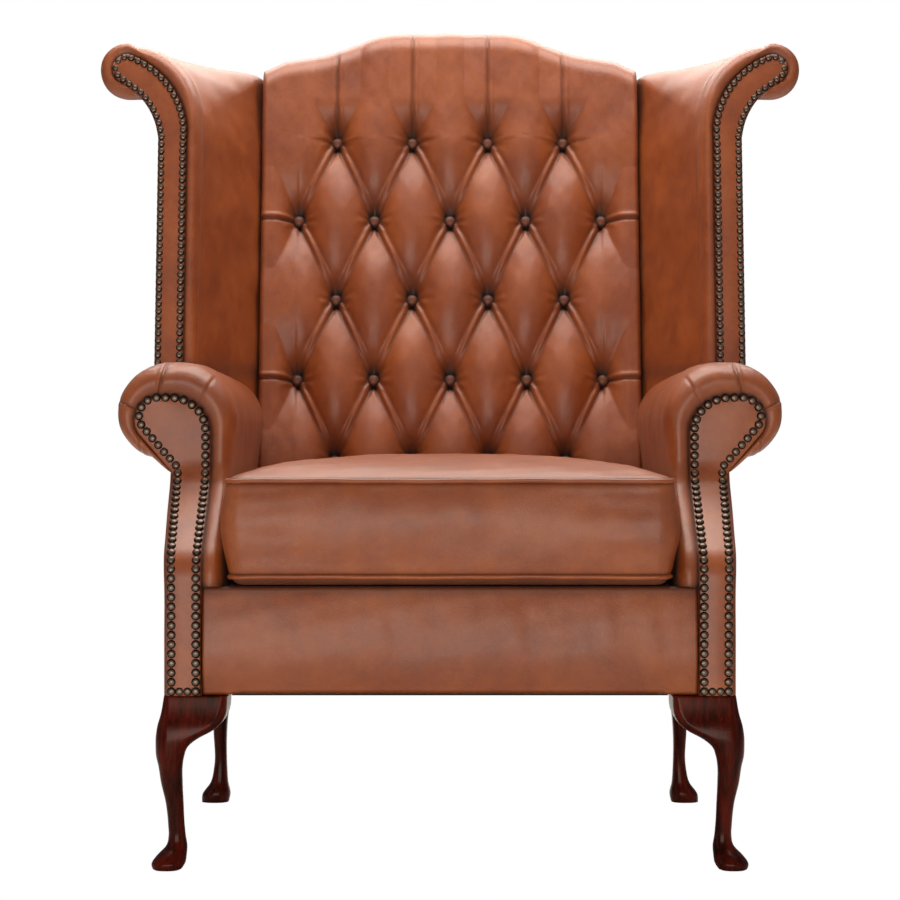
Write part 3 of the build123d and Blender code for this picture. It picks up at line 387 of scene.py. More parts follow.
def weaveGroup():
    # height: two crossed sine waves multiplied, one up where the other is down
    group, takes, gives = newGroup(
        "weave look",
        [("light", colourSocket, weave["light"]), ("dark", colourSocket, weave["dark"]),
         ("Threads", valueSocket, weave["threads"])],
    )
    split = put(group, "ShaderNodeSeparateXYZ", None, Vector=takes["Vector"]).outputs
    deep = sums(group, "ADD", split[1], split[2])
    across, along = (
        sums(group, "SINE", sums(group, "MULTIPLY", place, takes["Threads"])) for place in (split[0], deep)
    )
    crossed = sums(group, "MULTIPLY_ADD", sums(group, "MULTIPLY", across, along), 0.5, 0.5)
    fuzz = noise(group, takes["Vector"], weave["fuzz"], 3.0)
    mix = sums(group, "MULTIPLY_ADD", crossed, 0.6, sums(group, "MULTIPLY", fuzz, 0.4))
    rough = sums(group, "MULTIPLY_ADD", fuzz, 0.1, weave["rough"])
    giveOut(group, gives, blended(group, mix, takes["dark"], takes["light"]), rough, crossed)
    return group


metal = {"light": tone(114, 98, 86), "dark": tone(32, 17, 10), "patina": 320.0, "rough": 0.26}


def metalGroup():
    # colour: bright where the shade attribute is low, brown where it is high; on the nails a worn crown with
    # a painted highlight, and patina with painted shade at the rim
    group, takes, gives = newGroup(
        "metal look",
        [("Shade", valueSocket, 0.0), ("light", colourSocket, metal["light"]),
         ("dark", colourSocket, metal["dark"])],
    )
    patina = noise(group, takes["Vector"], metal["patina"], 4.0, 0.6)
    wearAndShade = sums(group, "MULTIPLY_ADD", patina, 0.5, takes["Shade"])
    colour = blended(group, ranged(group, wearAndShade, 0.35, 0.95), takes["light"], takes["dark"])
    giveOut(group, gives, colour, sums(group, "MULTIPLY_ADD", patina, 0.2, metal["rough"]), patina)
    return group


groups = {"leather": leatherGroup(), "timber": timberGroup(), "weave": weaveGroup(), "metal": metalGroup()}


def material(name, look, bump, depth, fixed=None, **values):
    # one material over a shared group; values go to the group, fixed to the Principled shader
    made = bpy.data.materials.new(name)
    made.use_nodes = True
    tree = made.node_tree
    tree.nodes.clear()
    place = put(tree, "ShaderNodeTexCoord").outputs["Object"]
    group = put(tree, "ShaderNodeGroup", {"node_tree": groups[look]}, Vector=place)
    if "Shade" in group.inputs:
        # the painted shade that each piece carries in its shade attribute
        shade = put(tree, "ShaderNodeAttribute", {"attribute_name": "shade"}).outputs["Fac"]
        tree.links.new(shade, group.inputs["Shade"])
    for key, value in values.items():
        group.inputs[key].default_value = value
    lumps = put(tree, "ShaderNodeBump", None, Strength=bump, Distance=depth, Height=group.outputs["Height"])
    shader = put(
        tree, "ShaderNodeBsdfPrincipled", None, Base_Color=group.outputs["Color"],
        Roughness=group.outputs["Roughness"], Normal=lumps.outputs["Normal"],
    )
    for key, value in (fixed or {}).items():
        shader.inputs[key].default_value = value
    put(tree, "ShaderNodeOutputMaterial", None, Surface=shader.outputs["BSDF"])
    return made


leatherCoat = {
    "Coat Weight": 0.45, "Coat Roughness": 0.36, "Specular IOR Level": 0.45,
    "Sheen Weight": 0.04, "Sheen Roughness": 0.35, "Sheen Tint": (1.0, 0.8, 0.7, 1.0),
}
polish = {
    "Coat Weight": 0.04, "Coat Roughness": 0.12, "Specular IOR Level": 0.12,
    "Specular Tint": (1.0, 0.72, 0.62, 1.0),
}
looks = {
    "stuffed_leather": material("stuffed leather", "leather", 0.5, 0.0011, leatherCoat),
    "tan_leather": material("flat leather", "leather", 0.4, 0.0008, leatherCoat),
    "mahogany": material("mahogany", "timber", 0.15, 0.0003, polish),
    "antique_brass": material("antique brass", "metal", 0.3, 0.0004, {"Metallic": 0.75}),
    "beech": material(
        "beech", "timber", 0.3, 0.0004, light=tone(208, 172, 128), dark=tone(168, 128, 86), Gloss=0.5,
    ),
    "webbing": material("jute webbing", "weave", 0.6, 0.0006),
    "black_cloth": material(
        "black lining cloth", "weave", 0.5, 0.0004,
        light=tone(44, 42, 40), dark=tone(22, 21, 20), Threads=2400.0,
    ),
    "steel": material(
        "zinc steel", "metal", 0.2, 0.0002, {"Metallic": 1.0},
        light=tone(178, 180, 184), dark=tone(120, 122, 126),
    ),
}


def dress(piece, look, stands, part="chair"):
    # the piece's finish, the CAD nodes it stands for, and the body it rides on
    piece.data.materials.append(looks[look])
    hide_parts(*stands)
    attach(piece, part)
    return piece


plainFinish = {
    "beech": ["front_rail", "back_rail", "lower_back_rail", "top_rail", "corner_blocks"]
    + [side + part for side in ("left_", "right_")
       for part in ("front_post", "back_post", "side_rail", "arm_rail", "wing_post", "wing_rail")],
    "steel": ["leg_bolts"],
}
for look, names in plainFinish.items():
    for name in names:
        nodes[name].data.materials.clear()
        nodes[name].data.materials.append(looks[look])
print("stage: materials made")


# The arms: a swept stump, with a rolled pad, a scrolled facing, an outside panel and nails.
sweep = {"radius": 44, "low": 348, "high": 441, "reach": 120.0}
flare = {"out": 5, "high": 450, "spread": 85, "from": 286, "over": 30, "rear": 330, "fade": 200}
arm = {
    "inner": 257, "bulge": 252, "top": 575, "shoulder": 67, "notch": 446.3, "step": 4, "panel": 4.3,
    "roll": 56.5, "rearRoll": 54, "rollShift": 8, "rollTurn": 165, "rearGap": 4,
    "deep": 0.95, "swell": 0.32, "rollRings": 26, "rearRings": 34,
    "points": {"wall": 30, "shoulder": 60, "flat": 4, "scroll": 120, "hollow": 18},
    "ledge": 318, "ledgeDeep": 35, "deckFloor": 303, "besideDeck": 279.3,
    # pleats: the part of the section, the point on it, strength and depth
    "pleats": [
        ("shoulder", 33, 0.5, 2.2), ("scroll", 1, 1.0, 2.4),
        ("scroll", 57, 0.9, 2.0), ("scroll", 111, 0.8, 1.6),
    ],
    "grooveWide": 1.7, "ridge": 0.9, "ridgeAway": 4.2, "ridgeWide": 3.0,
    "puff": 0.7, "waves": ((0.8, 11, 90), (0.25, 12, 34)), "softFrom": 322, "softOver": 20,
    "calm": 0.85, "calmInner": 264, "calmUnder": 500, "calmOver": 30,
    # painted shade at the facing's rim, in the pleats, along the border's ledge and near the back pad
    "rimDark": 0.85, "pleatDark": 0.5, "ledgeDark": 0.5, "backDark": 0.45,
}


def sweptFront(z):
    # depth of the arm's front: upright, a bend, a slope of reach over the height, a second bend, upright
    z = np.asarray(z, float)
    radius, low, high, reach = (sweep[key] for key in ("radius", "low", "high", "reach"))
    slope = math.atan2(reach, high - low)
    cut = radius * math.tan(slope / 2)
    first = radius - np.sqrt(np.clip(radius**2 - (z - low + cut) ** 2, 0, None))
    second = reach - radius + np.sqrt(np.clip(radius**2 - (high + cut - z) ** 2, 0, None))
    ends = [low - cut, low + cut * math.cos(slope), high - cut * math.cos(slope), high + cut]
    straight = (z - low) * reach / (high - low)
    return np.select([z <= end for end in ends], [0 * z, first, straight, second], reach)


def rearAt(z, out):
    # depth of the raked back plane moved forward by out
    return body["rear"] + (z - body["foot"]) * math.tan(rake) - out / math.cos(rake)


def outOf(depth, z):
    # distance forward of the raked back plane
    return (body["rear"] - depth) * math.cos(rake) + (z - body["foot"]) * math.sin(rake)


def sideHeights():
    # even steps up the arm's side below its roll, closer where it passes the deck and the border's ledge
    floor, ledge = arm["deckFloor"], arm["ledge"]
    return np.concatenate([
        np.linspace(body["foot"], floor - 0.6, 12), [floor + 0.6], np.linspace(floor + 4, ledge - 0.6, 3),
        [ledge + 0.5], np.linspace(ledge + 3, arm["notch"] - 8, 28),
    ])


def armPoint(part, step):
    # the number of a point on the section: the side's points, those of the parts before, and the step
    before = list(arm["points"]).index(part)
    return len(sideHeights()) + sum(list(arm["points"].values())[:before]) + step


def armSection(outer, roll):
    # the arm cut across: inner side, shoulder arc, flat top, scroll arc, hollow and outer side
    side, points = sideHeights(), arm["points"]
    scroll = (outer + arm["rollShift"], arm["top"] - roll)
    shoulder = (arm["bulge"] + arm["shoulder"], arm["top"] - arm["shoulder"])
    under = math.radians(90 - arm["rollTurn"])
    tuck = (scroll[0] + roll * math.cos(under), scroll[1] + roll * math.sin(under))
    behind = outer - arm["panel"]
    return np.concatenate([
        np.stack([0 * side + arm["inner"], side], 1),
        lineRun((arm["inner"], arm["notch"]), (arm["bulge"], shoulder[1]), points["wall"]),
        arcRun(shoulder, arm["shoulder"], 180, -90, points["shoulder"]),
        lineRun((shoulder[0], arm["top"]), (scroll[0], arm["top"]), points["flat"]),
        arcRun(scroll, roll, 90, -arm["rollTurn"], points["scroll"]),
        lineRun(tuck, (outer, arm["notch"]), points["hollow"]),
        [(outer, arm["notch"]), (behind, arm["notch"] - arm["step"])],
        np.stack([0 * side + behind, side[::-1]], 1),
    ])


armFace = {
    "inner": 279.5, "outer": 318.6, "shoulder": (324, 489.5), "lobeAt": 339.5, "lobe": 26.5, "lobeTurn": 132,
    "thick": 3, "puff": 2.0,
}


def armFacing(limit, inset=0):
    # the facing's outline, point for point with the section: side, shoulder arc, flat, lobe arc, neck, side
    side, points = sideHeights(), arm["points"]
    inner, outer, shoulder = armFace["inner"] + inset, armFace["outer"] - inset, armFace["shoulder"]
    radius, lobeRadius = shoulder[0] - inner, armFace["lobe"] - inset
    crown = shoulder[1] + radius
    lobe = (armFace["lobeAt"], crown - lobeRadius)
    leave = math.radians(90 - armFace["lobeTurn"])
    under = (lobe[0] + lobeRadius * math.cos(leave), lobe[1] + lobeRadius * math.sin(leave))
    corner = under[1] - (under[0] - outer) / math.tan(-leave)
    return np.concatenate([
        np.stack([0 * side + inner, side], 1),
        lineRun((inner, arm["notch"]), (inner, shoulder[1]), points["wall"]),
        arcRun(shoulder, radius, 180, -90, points["shoulder"]),
        lineRun((shoulder[0], crown), (lobe[0], crown), points["flat"]),
        arcRun(lobe, lobeRadius, 90, -armFace["lobeTurn"], points["scroll"]),
        lineRun(under, (outer, corner), points["hollow"]),
        [(limit, corner), (limit, corner - arm["step"])],
        np.stack([0 * side + limit, side[::-1]], 1),
    ])


def rolledRings(whole, facing, sizes):
    # from facing to section by the sine of a turn from 0 to 90 degrees; behind is their distance
    # times (deep times (1 minus cosine) minus swell times the sine of twice the turn)
    turn = np.linspace(0, np.pi / 2, sizes["rollRings"])[:, None]
    wide = np.linalg.norm(whole - facing, axis=1)
    behind = wide * (sizes["deep"] * (1 - np.cos(turn)) - sizes["swell"] * np.sin(2 * turn))
    flat = between(facing, whole, np.sin(turn)[..., None])
    return flat[..., 0], flat[..., 1], behind, turn + 0 * behind


def flared(x, depth, z):
    # the arm's outer side leans out: x plus a bell over height, fading in with x and out to the rear
    side = smoothStep((x - flare["from"]) / flare["over"])
    near = smoothStep((flare["rear"] - depth) / flare["fade"])
    return x + flare["out"] * bell(z - flare["high"], flare["spread"]) * side * near


def besidePad(x, depth, z):
    # the inner side is pushed out to the back pad's side where the two would meet
    share = smoothStep((body["padFront"] - outOf(depth, z)) / body["padFade"])
    return np.maximum(x, body["padHalf"] * share)


def towardPad(depth, z, start):
    # from 0 to 1 over 12 mm, as the raked plane comes nearer than start
    return smoothStep((start - outOf(depth, z)) / 12)


def armPad():
    # rings rolled from the facing to the section, then blended straight to the rear one; soft waves go
    # along the normal, and each pleat is a groove's bell less the bell of a ridge beside it
    whole, rear = armSection(body["half"], arm["roll"]), armSection(body["rearHalf"], arm["rearRoll"])
    x, z, behind, turn = rolledRings(whole, armFacing(body["half"] - arm["panel"]), arm)
    depth = sweptFront(z) + behind
    share = (np.arange(1, arm["rearRings"] + 1) / arm["rearRings"])[:, None]
    x = np.concatenate([x, between(x[-1], rear[:, 0], share)])
    z = np.concatenate([z, between(z[-1], rear[:, 1], share)])
    depth = np.concatenate([depth, between(depth[-1], rearAt(rear[:, 1], arm["rearGap"]), share)])
    turn = np.concatenate([turn, np.pi / 2 + 0 * share + 0 * rear[:, 0]])
    rings = np.stack([x, depth, z], -1)
    run = np.cumsum(np.linalg.norm(np.diff(whole, axis=0, prepend=whole[:1]), axis=1))
    hold = np.sin(np.clip(2 * turn, 0, np.pi)) ** 0.6 * (turn < np.pi / 2 - 0.01)
    groove = 0
    for part, step, strength, deep in arm["pleats"]:
        away = run - run[armPoint(part, step)]
        ridge = arm["ridge"] * bell(away - arm["ridgeAway"], arm["ridgeWide"])
        groove = groove + strength * hold * (bell(away, arm["grooveWide"]) * deep - ridge)
    fade = np.sin(turn) * smoothStep((z - arm["softFrom"]) / arm["softOver"]) * (outOf(depth, z) > 5)
    calm = arm["calm"] * (x < arm["calmInner"]) * smoothStep((arm["calmUnder"] - z) / arm["calmOver"])
    lift = (waves(rings, arm["waves"]) + arm["puff"]) * fade * (1 - calm) - groove
    rings = rings + ringNormals(rings, rings.mean(1, keepdims=True)) * lift[..., None]
    x, depth, z = rings[..., 0], rings[..., 1], rings[..., 2]
    x = besidePad(x, depth, z)
    low = (z < arm["deckFloor"]) | ((z < arm["ledge"]) & (depth < arm["ledgeDeep"]))
    inside = np.arange(x.shape[1]) < armPoint("wall", 0)
    x = np.where(low & inside, np.maximum(x, arm["besideDeck"]), x)
    # painted shade: darker at the facing's rim, in the pleats' grooves, along the border's ledge and toward
    # the back pad
    shade = arm["rimDark"] * bell(turn, 0.16) + arm["pleatDark"] * np.clip(groove / 2, 0, 1)
    shade = shade + arm["ledgeDark"] * bell(z - arm["ledge"], 5) * (depth < 40)
    shade = shade + arm["backDark"] * towardPad(depth, z, 92) * (x < 300)
    return toRow(flared(x, depth, z), depth, z), np.clip(shade, 0, 1)


def onSweep(flat, lift):
    # a flat outline laid on the arm's swept front, lifted toward the viewer
    depth = sweptFront(flat[..., 1]) - lift
    return toRow(flared(flat[..., 0], depth, flat[..., 1]), depth, flat[..., 1])


def armScroll():
    # a strip between the two halves of the facing's outline
    ring = armFacing(armFace["outer"])
    half = len(ring) // 2
    return strip(ring[:half], ring[::-1][:half], onSweep, armFace["thick"], armFace["puff"])


armPanel = {
    "half": 318.1, "rearHalf": 314.1, "foot": 196.2, "top": (438, 441, 444, 445.8), "rows": 56, "across": 30,
    "thick": 3.9, "puff": 0.8, "edge": 3,
    "hollow": 0.5, "wave": (0.35, 5, 120), "waveHigh": 320, "waveSpread": 90,
}


def armPanelDent(flat):
    # a shallow hollow, deeper and shallower in waves round the panel's middle height
    return armPanel["hollow"] + waves(flat, [armPanel["wave"]]) * bell(
        flat[..., 2] - armPanel["waveHigh"], armPanel["waveSpread"])


def onArmSide(flat, lift):
    # the panel's points lifted to the side, and flared with the arm
    return toRow(flared(flat[..., 0] + lift, flat[..., 1], flat[..., 2]), flat[..., 1], flat[..., 2])


def outsideArm():
    # a taut strip between the swept front and the raked back
    low, high = armPanel["foot"], armPanel["top"]
    z = np.concatenate([np.linspace(low, high[0], armPanel["rows"]), high[1:]])
    first = np.stack([0 * z + armPanel["half"], sweptFront(z), z], 1)
    last = np.stack([0 * z + armPanel["rearHalf"], rearAt(z, arm["rearGap"]), z], 1)
    return strip(first, last, onArmSide, armPanel["thick"], armPanel["puff"], armPanel["edge"],
                 armPanel["across"], armPanelDent)


nail = {
    "sides": 10,
    # the shade rises to the rim: patina with painted shade there, worn brass with a painted highlight on the
    # crown
    "rings": [(0.8, -0.25, 1), (1.0, 0.0, 1), (0.9, 0.45, 0.8), (0.55, 0.88, 0.25)],  # radius, height, shade
    "poles": [(-0.25, 1), (1.0, 0)],  # height, shade
}
armStud = {
    "inset": 6, "pitch": 10.6, "radius": 5.3, "rise": 2.9, "out": 3.6, "first": 4.9, "foot": (312.6, 285.5),
    "reach": 615, "steps": 4000,
}


def nailHeads(places, upward, stud):
    # domes of a few dozen faces: each ring's radius and height are shares of the nail's, then a pole
    sides, rings = nail["sides"], nail["rings"]
    radius, rise = stud["radius"] * mm, stud["rise"] * mm
    across = np.broadcast_to([1.0, 0, 0], upward.shape)
    outward = np.cross(across, upward)
    turn = np.arange(sides) * 2 * np.pi / sides
    circle = np.cos(turn)[:, None] * across[:, None] + np.sin(turn)[:, None] * upward[:, None]
    middle, away = places[:, None], rise * outward[:, None]
    points = [middle + wide * radius * circle + high * away for wide, high, _ in rings]
    points = np.concatenate(points + [middle + high * away for high, _ in nail["poles"]], 1)
    shades = [dark for _, _, dark in rings for _ in range(sides)] + [dark for _, dark in nail["poles"]]
    k, last = np.arange(sides), len(rings) * sides
    shift = (np.arange(len(places)) * points.shape[1])[:, None, None]
    tris = np.array(poleFaces(k[::-1], last) + poleFaces(k + last - sides, last + 1))
    quads = (ringsToFaces(len(rings), sides)[None] + shift).reshape(-1, 4)
    faces = quads.tolist() + (tris[None] + shift).reshape(-1, 3).tolist()
    return points.reshape(-1, 3), faces, np.tile(shades, len(places))


def evenPlaces(path, pitch):
    # evenly spaced places along a dense path, as near to the pitch as whole steps allow
    run = np.concatenate([[0], np.cumsum(np.linalg.norm(np.diff(path, axis=0), axis=1))])
    steps = max(round(run[-1] / pitch), 1)
    at = np.linspace(0, run[-1], steps + 1)
    return np.stack([np.interp(at, run, path[:, k]) for k in range(2)], 1)


def armNails():
    # even places along the facing's outline, and a row at its foot, with heights measured along the sweep
    inset, foot = armStud["inset"], float(body["foot"])
    z = np.linspace(foot, armStud["reach"], armStud["steps"])
    depth = sweptFront(z) - armStud["out"]
    run = np.concatenate([[0], np.cumsum(np.hypot(np.diff(z), np.diff(depth)))])
    lift = run[-1] - (armStud["reach"] - foot)
    ring = armFacing(armFace["outer"] - inset, inset)
    first = len(sideHeights())
    path = np.concatenate([
        [(armFace["inner"] + inset, foot)],
        ring[first:-first - 1] + np.array([0, lift]),
        [(armFace["outer"] - inset, foot)],
    ])
    footRow = evenPlaces(np.array([[x, foot] for x in armStud["foot"]]), armStud["pitch"])[1:-1]
    flat = np.concatenate([evenPlaces(path, armStud["pitch"]), footRow])
    at = flat[:, 1] - foot + armStud["first"]
    spotZ, spotDepth = np.interp(at, run, z), np.interp(at, run, depth)
    slopes = [np.interp(at, run, np.gradient(way, run)) for way in (depth, z)]
    upward = np.stack([0 * at] + slopes, 1)
    upward /= np.linalg.norm(upward, axis=1, keepdims=True)
    return nailHeads(toRow(flared(flat[:, 0], spotDepth, spotZ), spotDepth, spotZ), upward, armStud)


def backHalf(z):
    # half the body's width at the rear: upright to the arms, then drawn in evenly to the wings' necks
    share = np.clip((z - body["armTop"]) / (body["neck"] - body["armTop"]), 0, None)
    return between(body["rearHalf"], body["headHalf"], share)


# The wings: a padded side with a shoulder and a scroll, which lean back from the arms to the neck.
wing = {
    "front": (430, 490), "heights": (575, 966),  # the leaning front's depths at two heights
    "foot": 515, "panel": 4.3, "step": 4, "turn": 108,
    "frontCut": {
        "footOuter": 380, "outer": 380, "inner": 326, "scrollAt": 421, "scroll": 36.5, "neck": 880.3,
        "shoulder": 93, "top": 1007.5,
    },
    "rearCut": {
        "footOuter": float(backHalf(515)), "outer": 290, "inner": 258.9, "scrollAt": 292, "scroll": 12,
        "neck": 950.3, "shoulder": 15, "top": 995,
    },
    "join": 0.72, "joinInner": 259.5, "joinTop": 996, "joinLean": 9, "leanFrom": 880, "leanOver": 110,
    "drawIn": 2.2,  # how much sooner the width ends its way to the rear
    "dip": 6, "dipFrom": 930, "dipOver": 60,
    "points": {"wall": 60, "shoulder": 39, "flat": 12, "scroll": 90, "hollow": 51, "side": 59},
    "deep": 0.9, "swell": 0.25, "rollRings": 24, "rearRings": 34, "rearGap": 4,
    "puff": 0.9, "waves": ((0.9, 21, 110), (0.25, 22, 38)), "softPoints": 250,
    # painted shade at the facing's rim, toward the back pad and where the wing sits on the arm
    "rimDark": 0.8, "backDark": 0.3, "footDark": 0.4,
}
lean = math.atan((wing["front"][1] - wing["front"][0]) / (wing["heights"][1] - wing["heights"][0]))


def wingRise(z):
    # distance up the wing's leaning front, from the arm's top
    return (z - wing["heights"][0]) / math.cos(lean)


def backRise(z):
    # distance up the raked back plane, from the frame's foot
    return (z - body["foot"]) / math.cos(rake)


def onWing(x, rise, out):
    # the wing front's leaning plane, moved forward by out
    depth = wing["front"][0] + rise * math.sin(lean) - out * math.cos(lean)
    return x, depth, wing["heights"][0] + rise * math.cos(lean) + out * math.sin(lean)


def onBack(x, rise, out):
    # the raked back plane, moved forward by out
    depth = body["rear"] + rise * math.sin(rake) - out * math.cos(rake)
    return x, depth, body["foot"] + rise * math.cos(rake) + out * math.sin(rake)


def upright(z):
    # heights left as they are, for a section that stands upright
    return z


def wingSection(rise, cut):
    # the wing cut across: wall, shoulder arc, flat top, scroll arc, a hollow arc to the neck, outer side;
    # the hollow's radius is (across squared plus up squared) over twice across
    points, top, foot, neck = wing["points"], rise(cut["top"]), rise(wing["foot"]), rise(cut["neck"])
    shoulder, scroll = cut["inner"] + cut["shoulder"], (cut["scrollAt"], top - cut["scroll"])
    turn = math.radians(-wing["turn"])
    notch = (scroll[0] + cut["scroll"] * math.cos(turn), scroll[1] + cut["scroll"] * math.sin(turn))
    reach = (notch[0] - cut["outer"], notch[1] - neck)
    hollow = (reach[0] ** 2 + reach[1] ** 2) / (2 * reach[0])
    end = 180 if hollow > 0 else 0
    begin = (math.degrees(math.atan2(reach[1], reach[0] - hollow)) - end + 180) % 360 + end - 180
    behind = [cut["outer"] - wing["panel"], cut["footOuter"] - wing["panel"]]
    return np.concatenate([
        lineRun((cut["inner"], foot), (cut["inner"], top - cut["shoulder"]), points["wall"]),
        arcRun((shoulder, top - cut["shoulder"]), cut["shoulder"], 180, -90, points["shoulder"]),
        lineRun((shoulder, top), (scroll[0], top), points["flat"]),
        arcRun(scroll, cut["scroll"], 90, -90 - wing["turn"], points["scroll"]),
        arcRun((cut["outer"] + hollow, neck), abs(hollow), begin, end - begin, points["hollow"]),
        [(cut["outer"], neck)],
        lineRun((behind[0], neck - wing["step"]), (behind[1], foot), points["side"]),
    ])


wingFace = {
    "inner": 343, "outer": 380, "lobeAt": 421, "lobe": 20.3, "lobeHigh": 970, "lobeTurn": 150,
    "neckRadius": 94, "neckStart": 870, "neckTurn": 45, "neck": 881.3, "crown": (366, 951.4), "slope": 33,
    "thick": 3, "puff": 2.0,
}


def wingFacing(limit, inset=0):
    # the facing's outline, point for point with the section: side, an arc over the crown, lobe, neck arc
    points, foot, neck = wing["points"], wingRise(wing["foot"]), wingRise(wing["frontCut"]["neck"])
    inner, start = wingFace["inner"] + inset, wingRise(wingFace["neckStart"])
    lobe, radius = (wingFace["lobeAt"], wingRise(wingFace["lobeHigh"])), wingFace["lobe"] - inset
    neckRadius, neckTurn = wingFace["neckRadius"] + inset, wingFace["neckTurn"]
    slope, crownZ = math.radians(wingFace["slope"]), wingRise(wingFace["crown"][1])
    crown = (wingFace["crown"][0] + inset * math.cos(slope), crownZ - inset * math.sin(slope))
    leave = math.radians(90 - wingFace["lobeTurn"])
    under = (lobe[0] + radius * math.cos(leave), lobe[1] + radius * math.sin(leave))
    neckLeft = math.degrees(math.asin((wingRise(wingFace["neck"]) - start) / neckRadius))
    neckCentre = (wingFace["outer"] + wingFace["neckRadius"], start)
    over = points["shoulder"] + points["flat"]
    return np.concatenate([
        lineRun((inner, foot), (inner, start), points["wall"]),
        threePointRun((inner, start), crown, (lobe[0], lobe[1] + radius), over),
        arcRun(lobe, radius, 90, -wingFace["lobeTurn"], points["scroll"]),
        [under],
        arcRun(neckCentre, neckRadius, 180 - neckTurn, neckTurn - neckLeft, points["hollow"] - 1),
        [(limit, neck)],
        lineRun((limit, neck - wing["step"]), (limit, foot), points["side"]),
    ])


def wingPad():
    # rings rolled from the facing to the front cut, blended to the join and on to the rear cut, where the
    # width runs ahead of the rest; a half sine dips the top, and soft waves go along the normal
    frontCut, rearCut, at = wing["frontCut"], wing["rearCut"], wing["join"]
    joinCut = {key: between(frontCut[key], rearCut[key], at) for key in frontCut}
    joinCut.update(inner=wing["joinInner"], shoulder=rearCut["shoulder"], top=wing["joinTop"])
    whole = wingSection(wingRise, frontCut)
    join, rear = wingSection(upright, joinCut), wingSection(upright, rearCut)
    x, rise, behind, turn = rolledRings(whole, wingFacing(frontCut["outer"] - wing["panel"]), wing)
    rings = np.stack(onWing(x, rise, -behind), -1)
    number = np.arange(len(join))
    head = wing["points"]["wall"] + wing["points"]["shoulder"] + wing["points"]["flat"]
    leaning = smoothStep((join[:, 1] - wing["leanFrom"]) / wing["leanOver"])
    leanIn = wing["joinLean"] * leaning * (number < head)
    frontDepth = wing["front"][0] + (join[:, 1] - wing["heights"][0]) * math.tan(lean)
    joinDepth = between(frontDepth, rearAt(join[:, 1], wing["rearGap"]), at)
    joinRing = np.stack([join[:, 0] + leanIn, joinDepth, join[:, 1]], -1)
    step = np.stack([rear[:, 0], rearAt(rear[:, 1], wing["rearGap"]), rear[:, 1]], -1) - joinRing
    share = (np.arange(1, wing["rearRings"] + 1) / wing["rearRings"])[:, None, None]
    after = np.maximum((share - at) / (1 - at), 0) * np.ones(3)
    after[..., 0] = np.minimum(after[..., 0] * wing["drawIn"], 1)
    laid = between(rings[-1], joinRing, np.minimum(share / at, 1)) + step * after
    laid[..., 2] -= wing["dip"] * np.sin(np.pi * share[..., 0]) * smoothStep(
        (laid[..., 2] - wing["dipFrom"]) / wing["dipOver"])
    rings = np.concatenate([rings, laid])
    turn = np.concatenate([turn, np.full((wing["rearRings"], len(rear)), np.pi / 2)])
    fade = np.sin(turn) * (number < wing["softPoints"])
    fade[-1] = 0
    lift = (waves(rings, wing["waves"]) + wing["puff"]) * fade
    rings = rings + ringNormals(rings, rings.mean(1, keepdims=True)) * lift[..., None]
    x, depth, z = rings[..., 0], rings[..., 1], rings[..., 2]
    x = besidePad(x, depth, z)
    # painted shade: darker at the facing's rim, toward the back pad and where the wing sits on the arm
    shade = wing["rimDark"] * bell(turn, 0.14) + wing["backDark"] * towardPad(depth, z, 90) * (x < 300)
    shade = shade + wing["footDark"] * bell(z - 577, 10) * (x < 400)
    return toRow(x, depth, z), np.clip(shade, 0, 1)


def onWingFace(flat, lift):
    # a flat outline laid on the wing's leaning front, lifted toward the viewer
    return toRow(*onWing(flat[..., 0], flat[..., 1], lift))


def wingScroll():
    # a strip between the two halves of the facing's outline
    ring = wingFacing(wingFace["outer"])
    half = len(ring) // 2
    return strip(ring[:half], ring[::-1][:half], onWingFace, wingFace["thick"], wingFace["puff"])


wingPanel = {
    "set": 3.8, "under": 0.5, "rows": 60, "across": 24,
    "thick": 3.7, "puff": 0.8, "edge": 3, "backward": 0.25,
}


def onWingSide(flat, lift):
    # the panel's points lifted to the side and a quarter as much to the rear
    return toRow(flat[..., 0] + lift, flat[..., 1] + lift * wingPanel["backward"], flat[..., 2])


def outsideWing():
    # a ruled strip from the wing's front edge to the back's edge
    share = np.linspace(0, 1, wingPanel["rows"])[:, None]
    frontCut, rearCut, gap = wing["frontCut"], wing["rearCut"], wing["rearGap"]
    foot, inset, under = wing["foot"], wingPanel["set"], wingPanel["under"]
    front = [onWing(frontCut["outer"] - inset, wingRise(z), 0) for z in (foot, frontCut["neck"] - under)]
    rear = [
        onBack(rearCut["footOuter"] - inset, backRise(foot), gap),
        onBack(rearCut["outer"] - inset, backRise(rearCut["neck"]) - under, gap),
    ]
    first, last = (between(np.array(low), np.array(high), share) for low, high in (front, rear))
    return strip(first, last, onWingSide, wingPanel["thick"], wingPanel["puff"], wingPanel["edge"],
                 wingPanel["across"])


wingStud = {"inset": 4.8, "pitch": 9.6, "radius": 4.8, "rise": 2.6, "out": 3.3, "foot": 584}


def wingNails():
    # even places along the facing's outline above the arm
    inset, foot = wingStud["inset"], wingRise(wingStud["foot"])
    outer = wingFace["outer"] - inset
    ring = wingFacing(outer, inset)
    above = ring[ring[:, 1] > foot][:-1]
    path = np.concatenate([[(wingFace["inner"] + inset, foot)], above, [(outer, foot)]])
    flat = evenPlaces(path, wingStud["pitch"])
    places = toRow(*onWing(flat[:, 0], flat[:, 1], wingStud["out"]))
    return nailHeads(places, np.broadcast_to([0, math.sin(lean), math.cos(lean)], places.shape), wingStud)


def bothSides(name, made, look, node, caps=("plane", "plane")):
    # the right piece and its mirror image, over rings of points
    rings, shade = made
    for side, laid in (("right_", rings), ("left_", mirrored(rings))):
        dress(ringPiece(side + name, laid, caps, shade), look, [side + node])


def bothRows(name, made, node):
    # the right side's nails and their mirror image
    points, faces, shade = made
    for side, laid in (("right_", points), ("left_", mirrored(points))):
        dress(meshObject(side + name, laid, faces, shade), "antique_brass", [side + node])


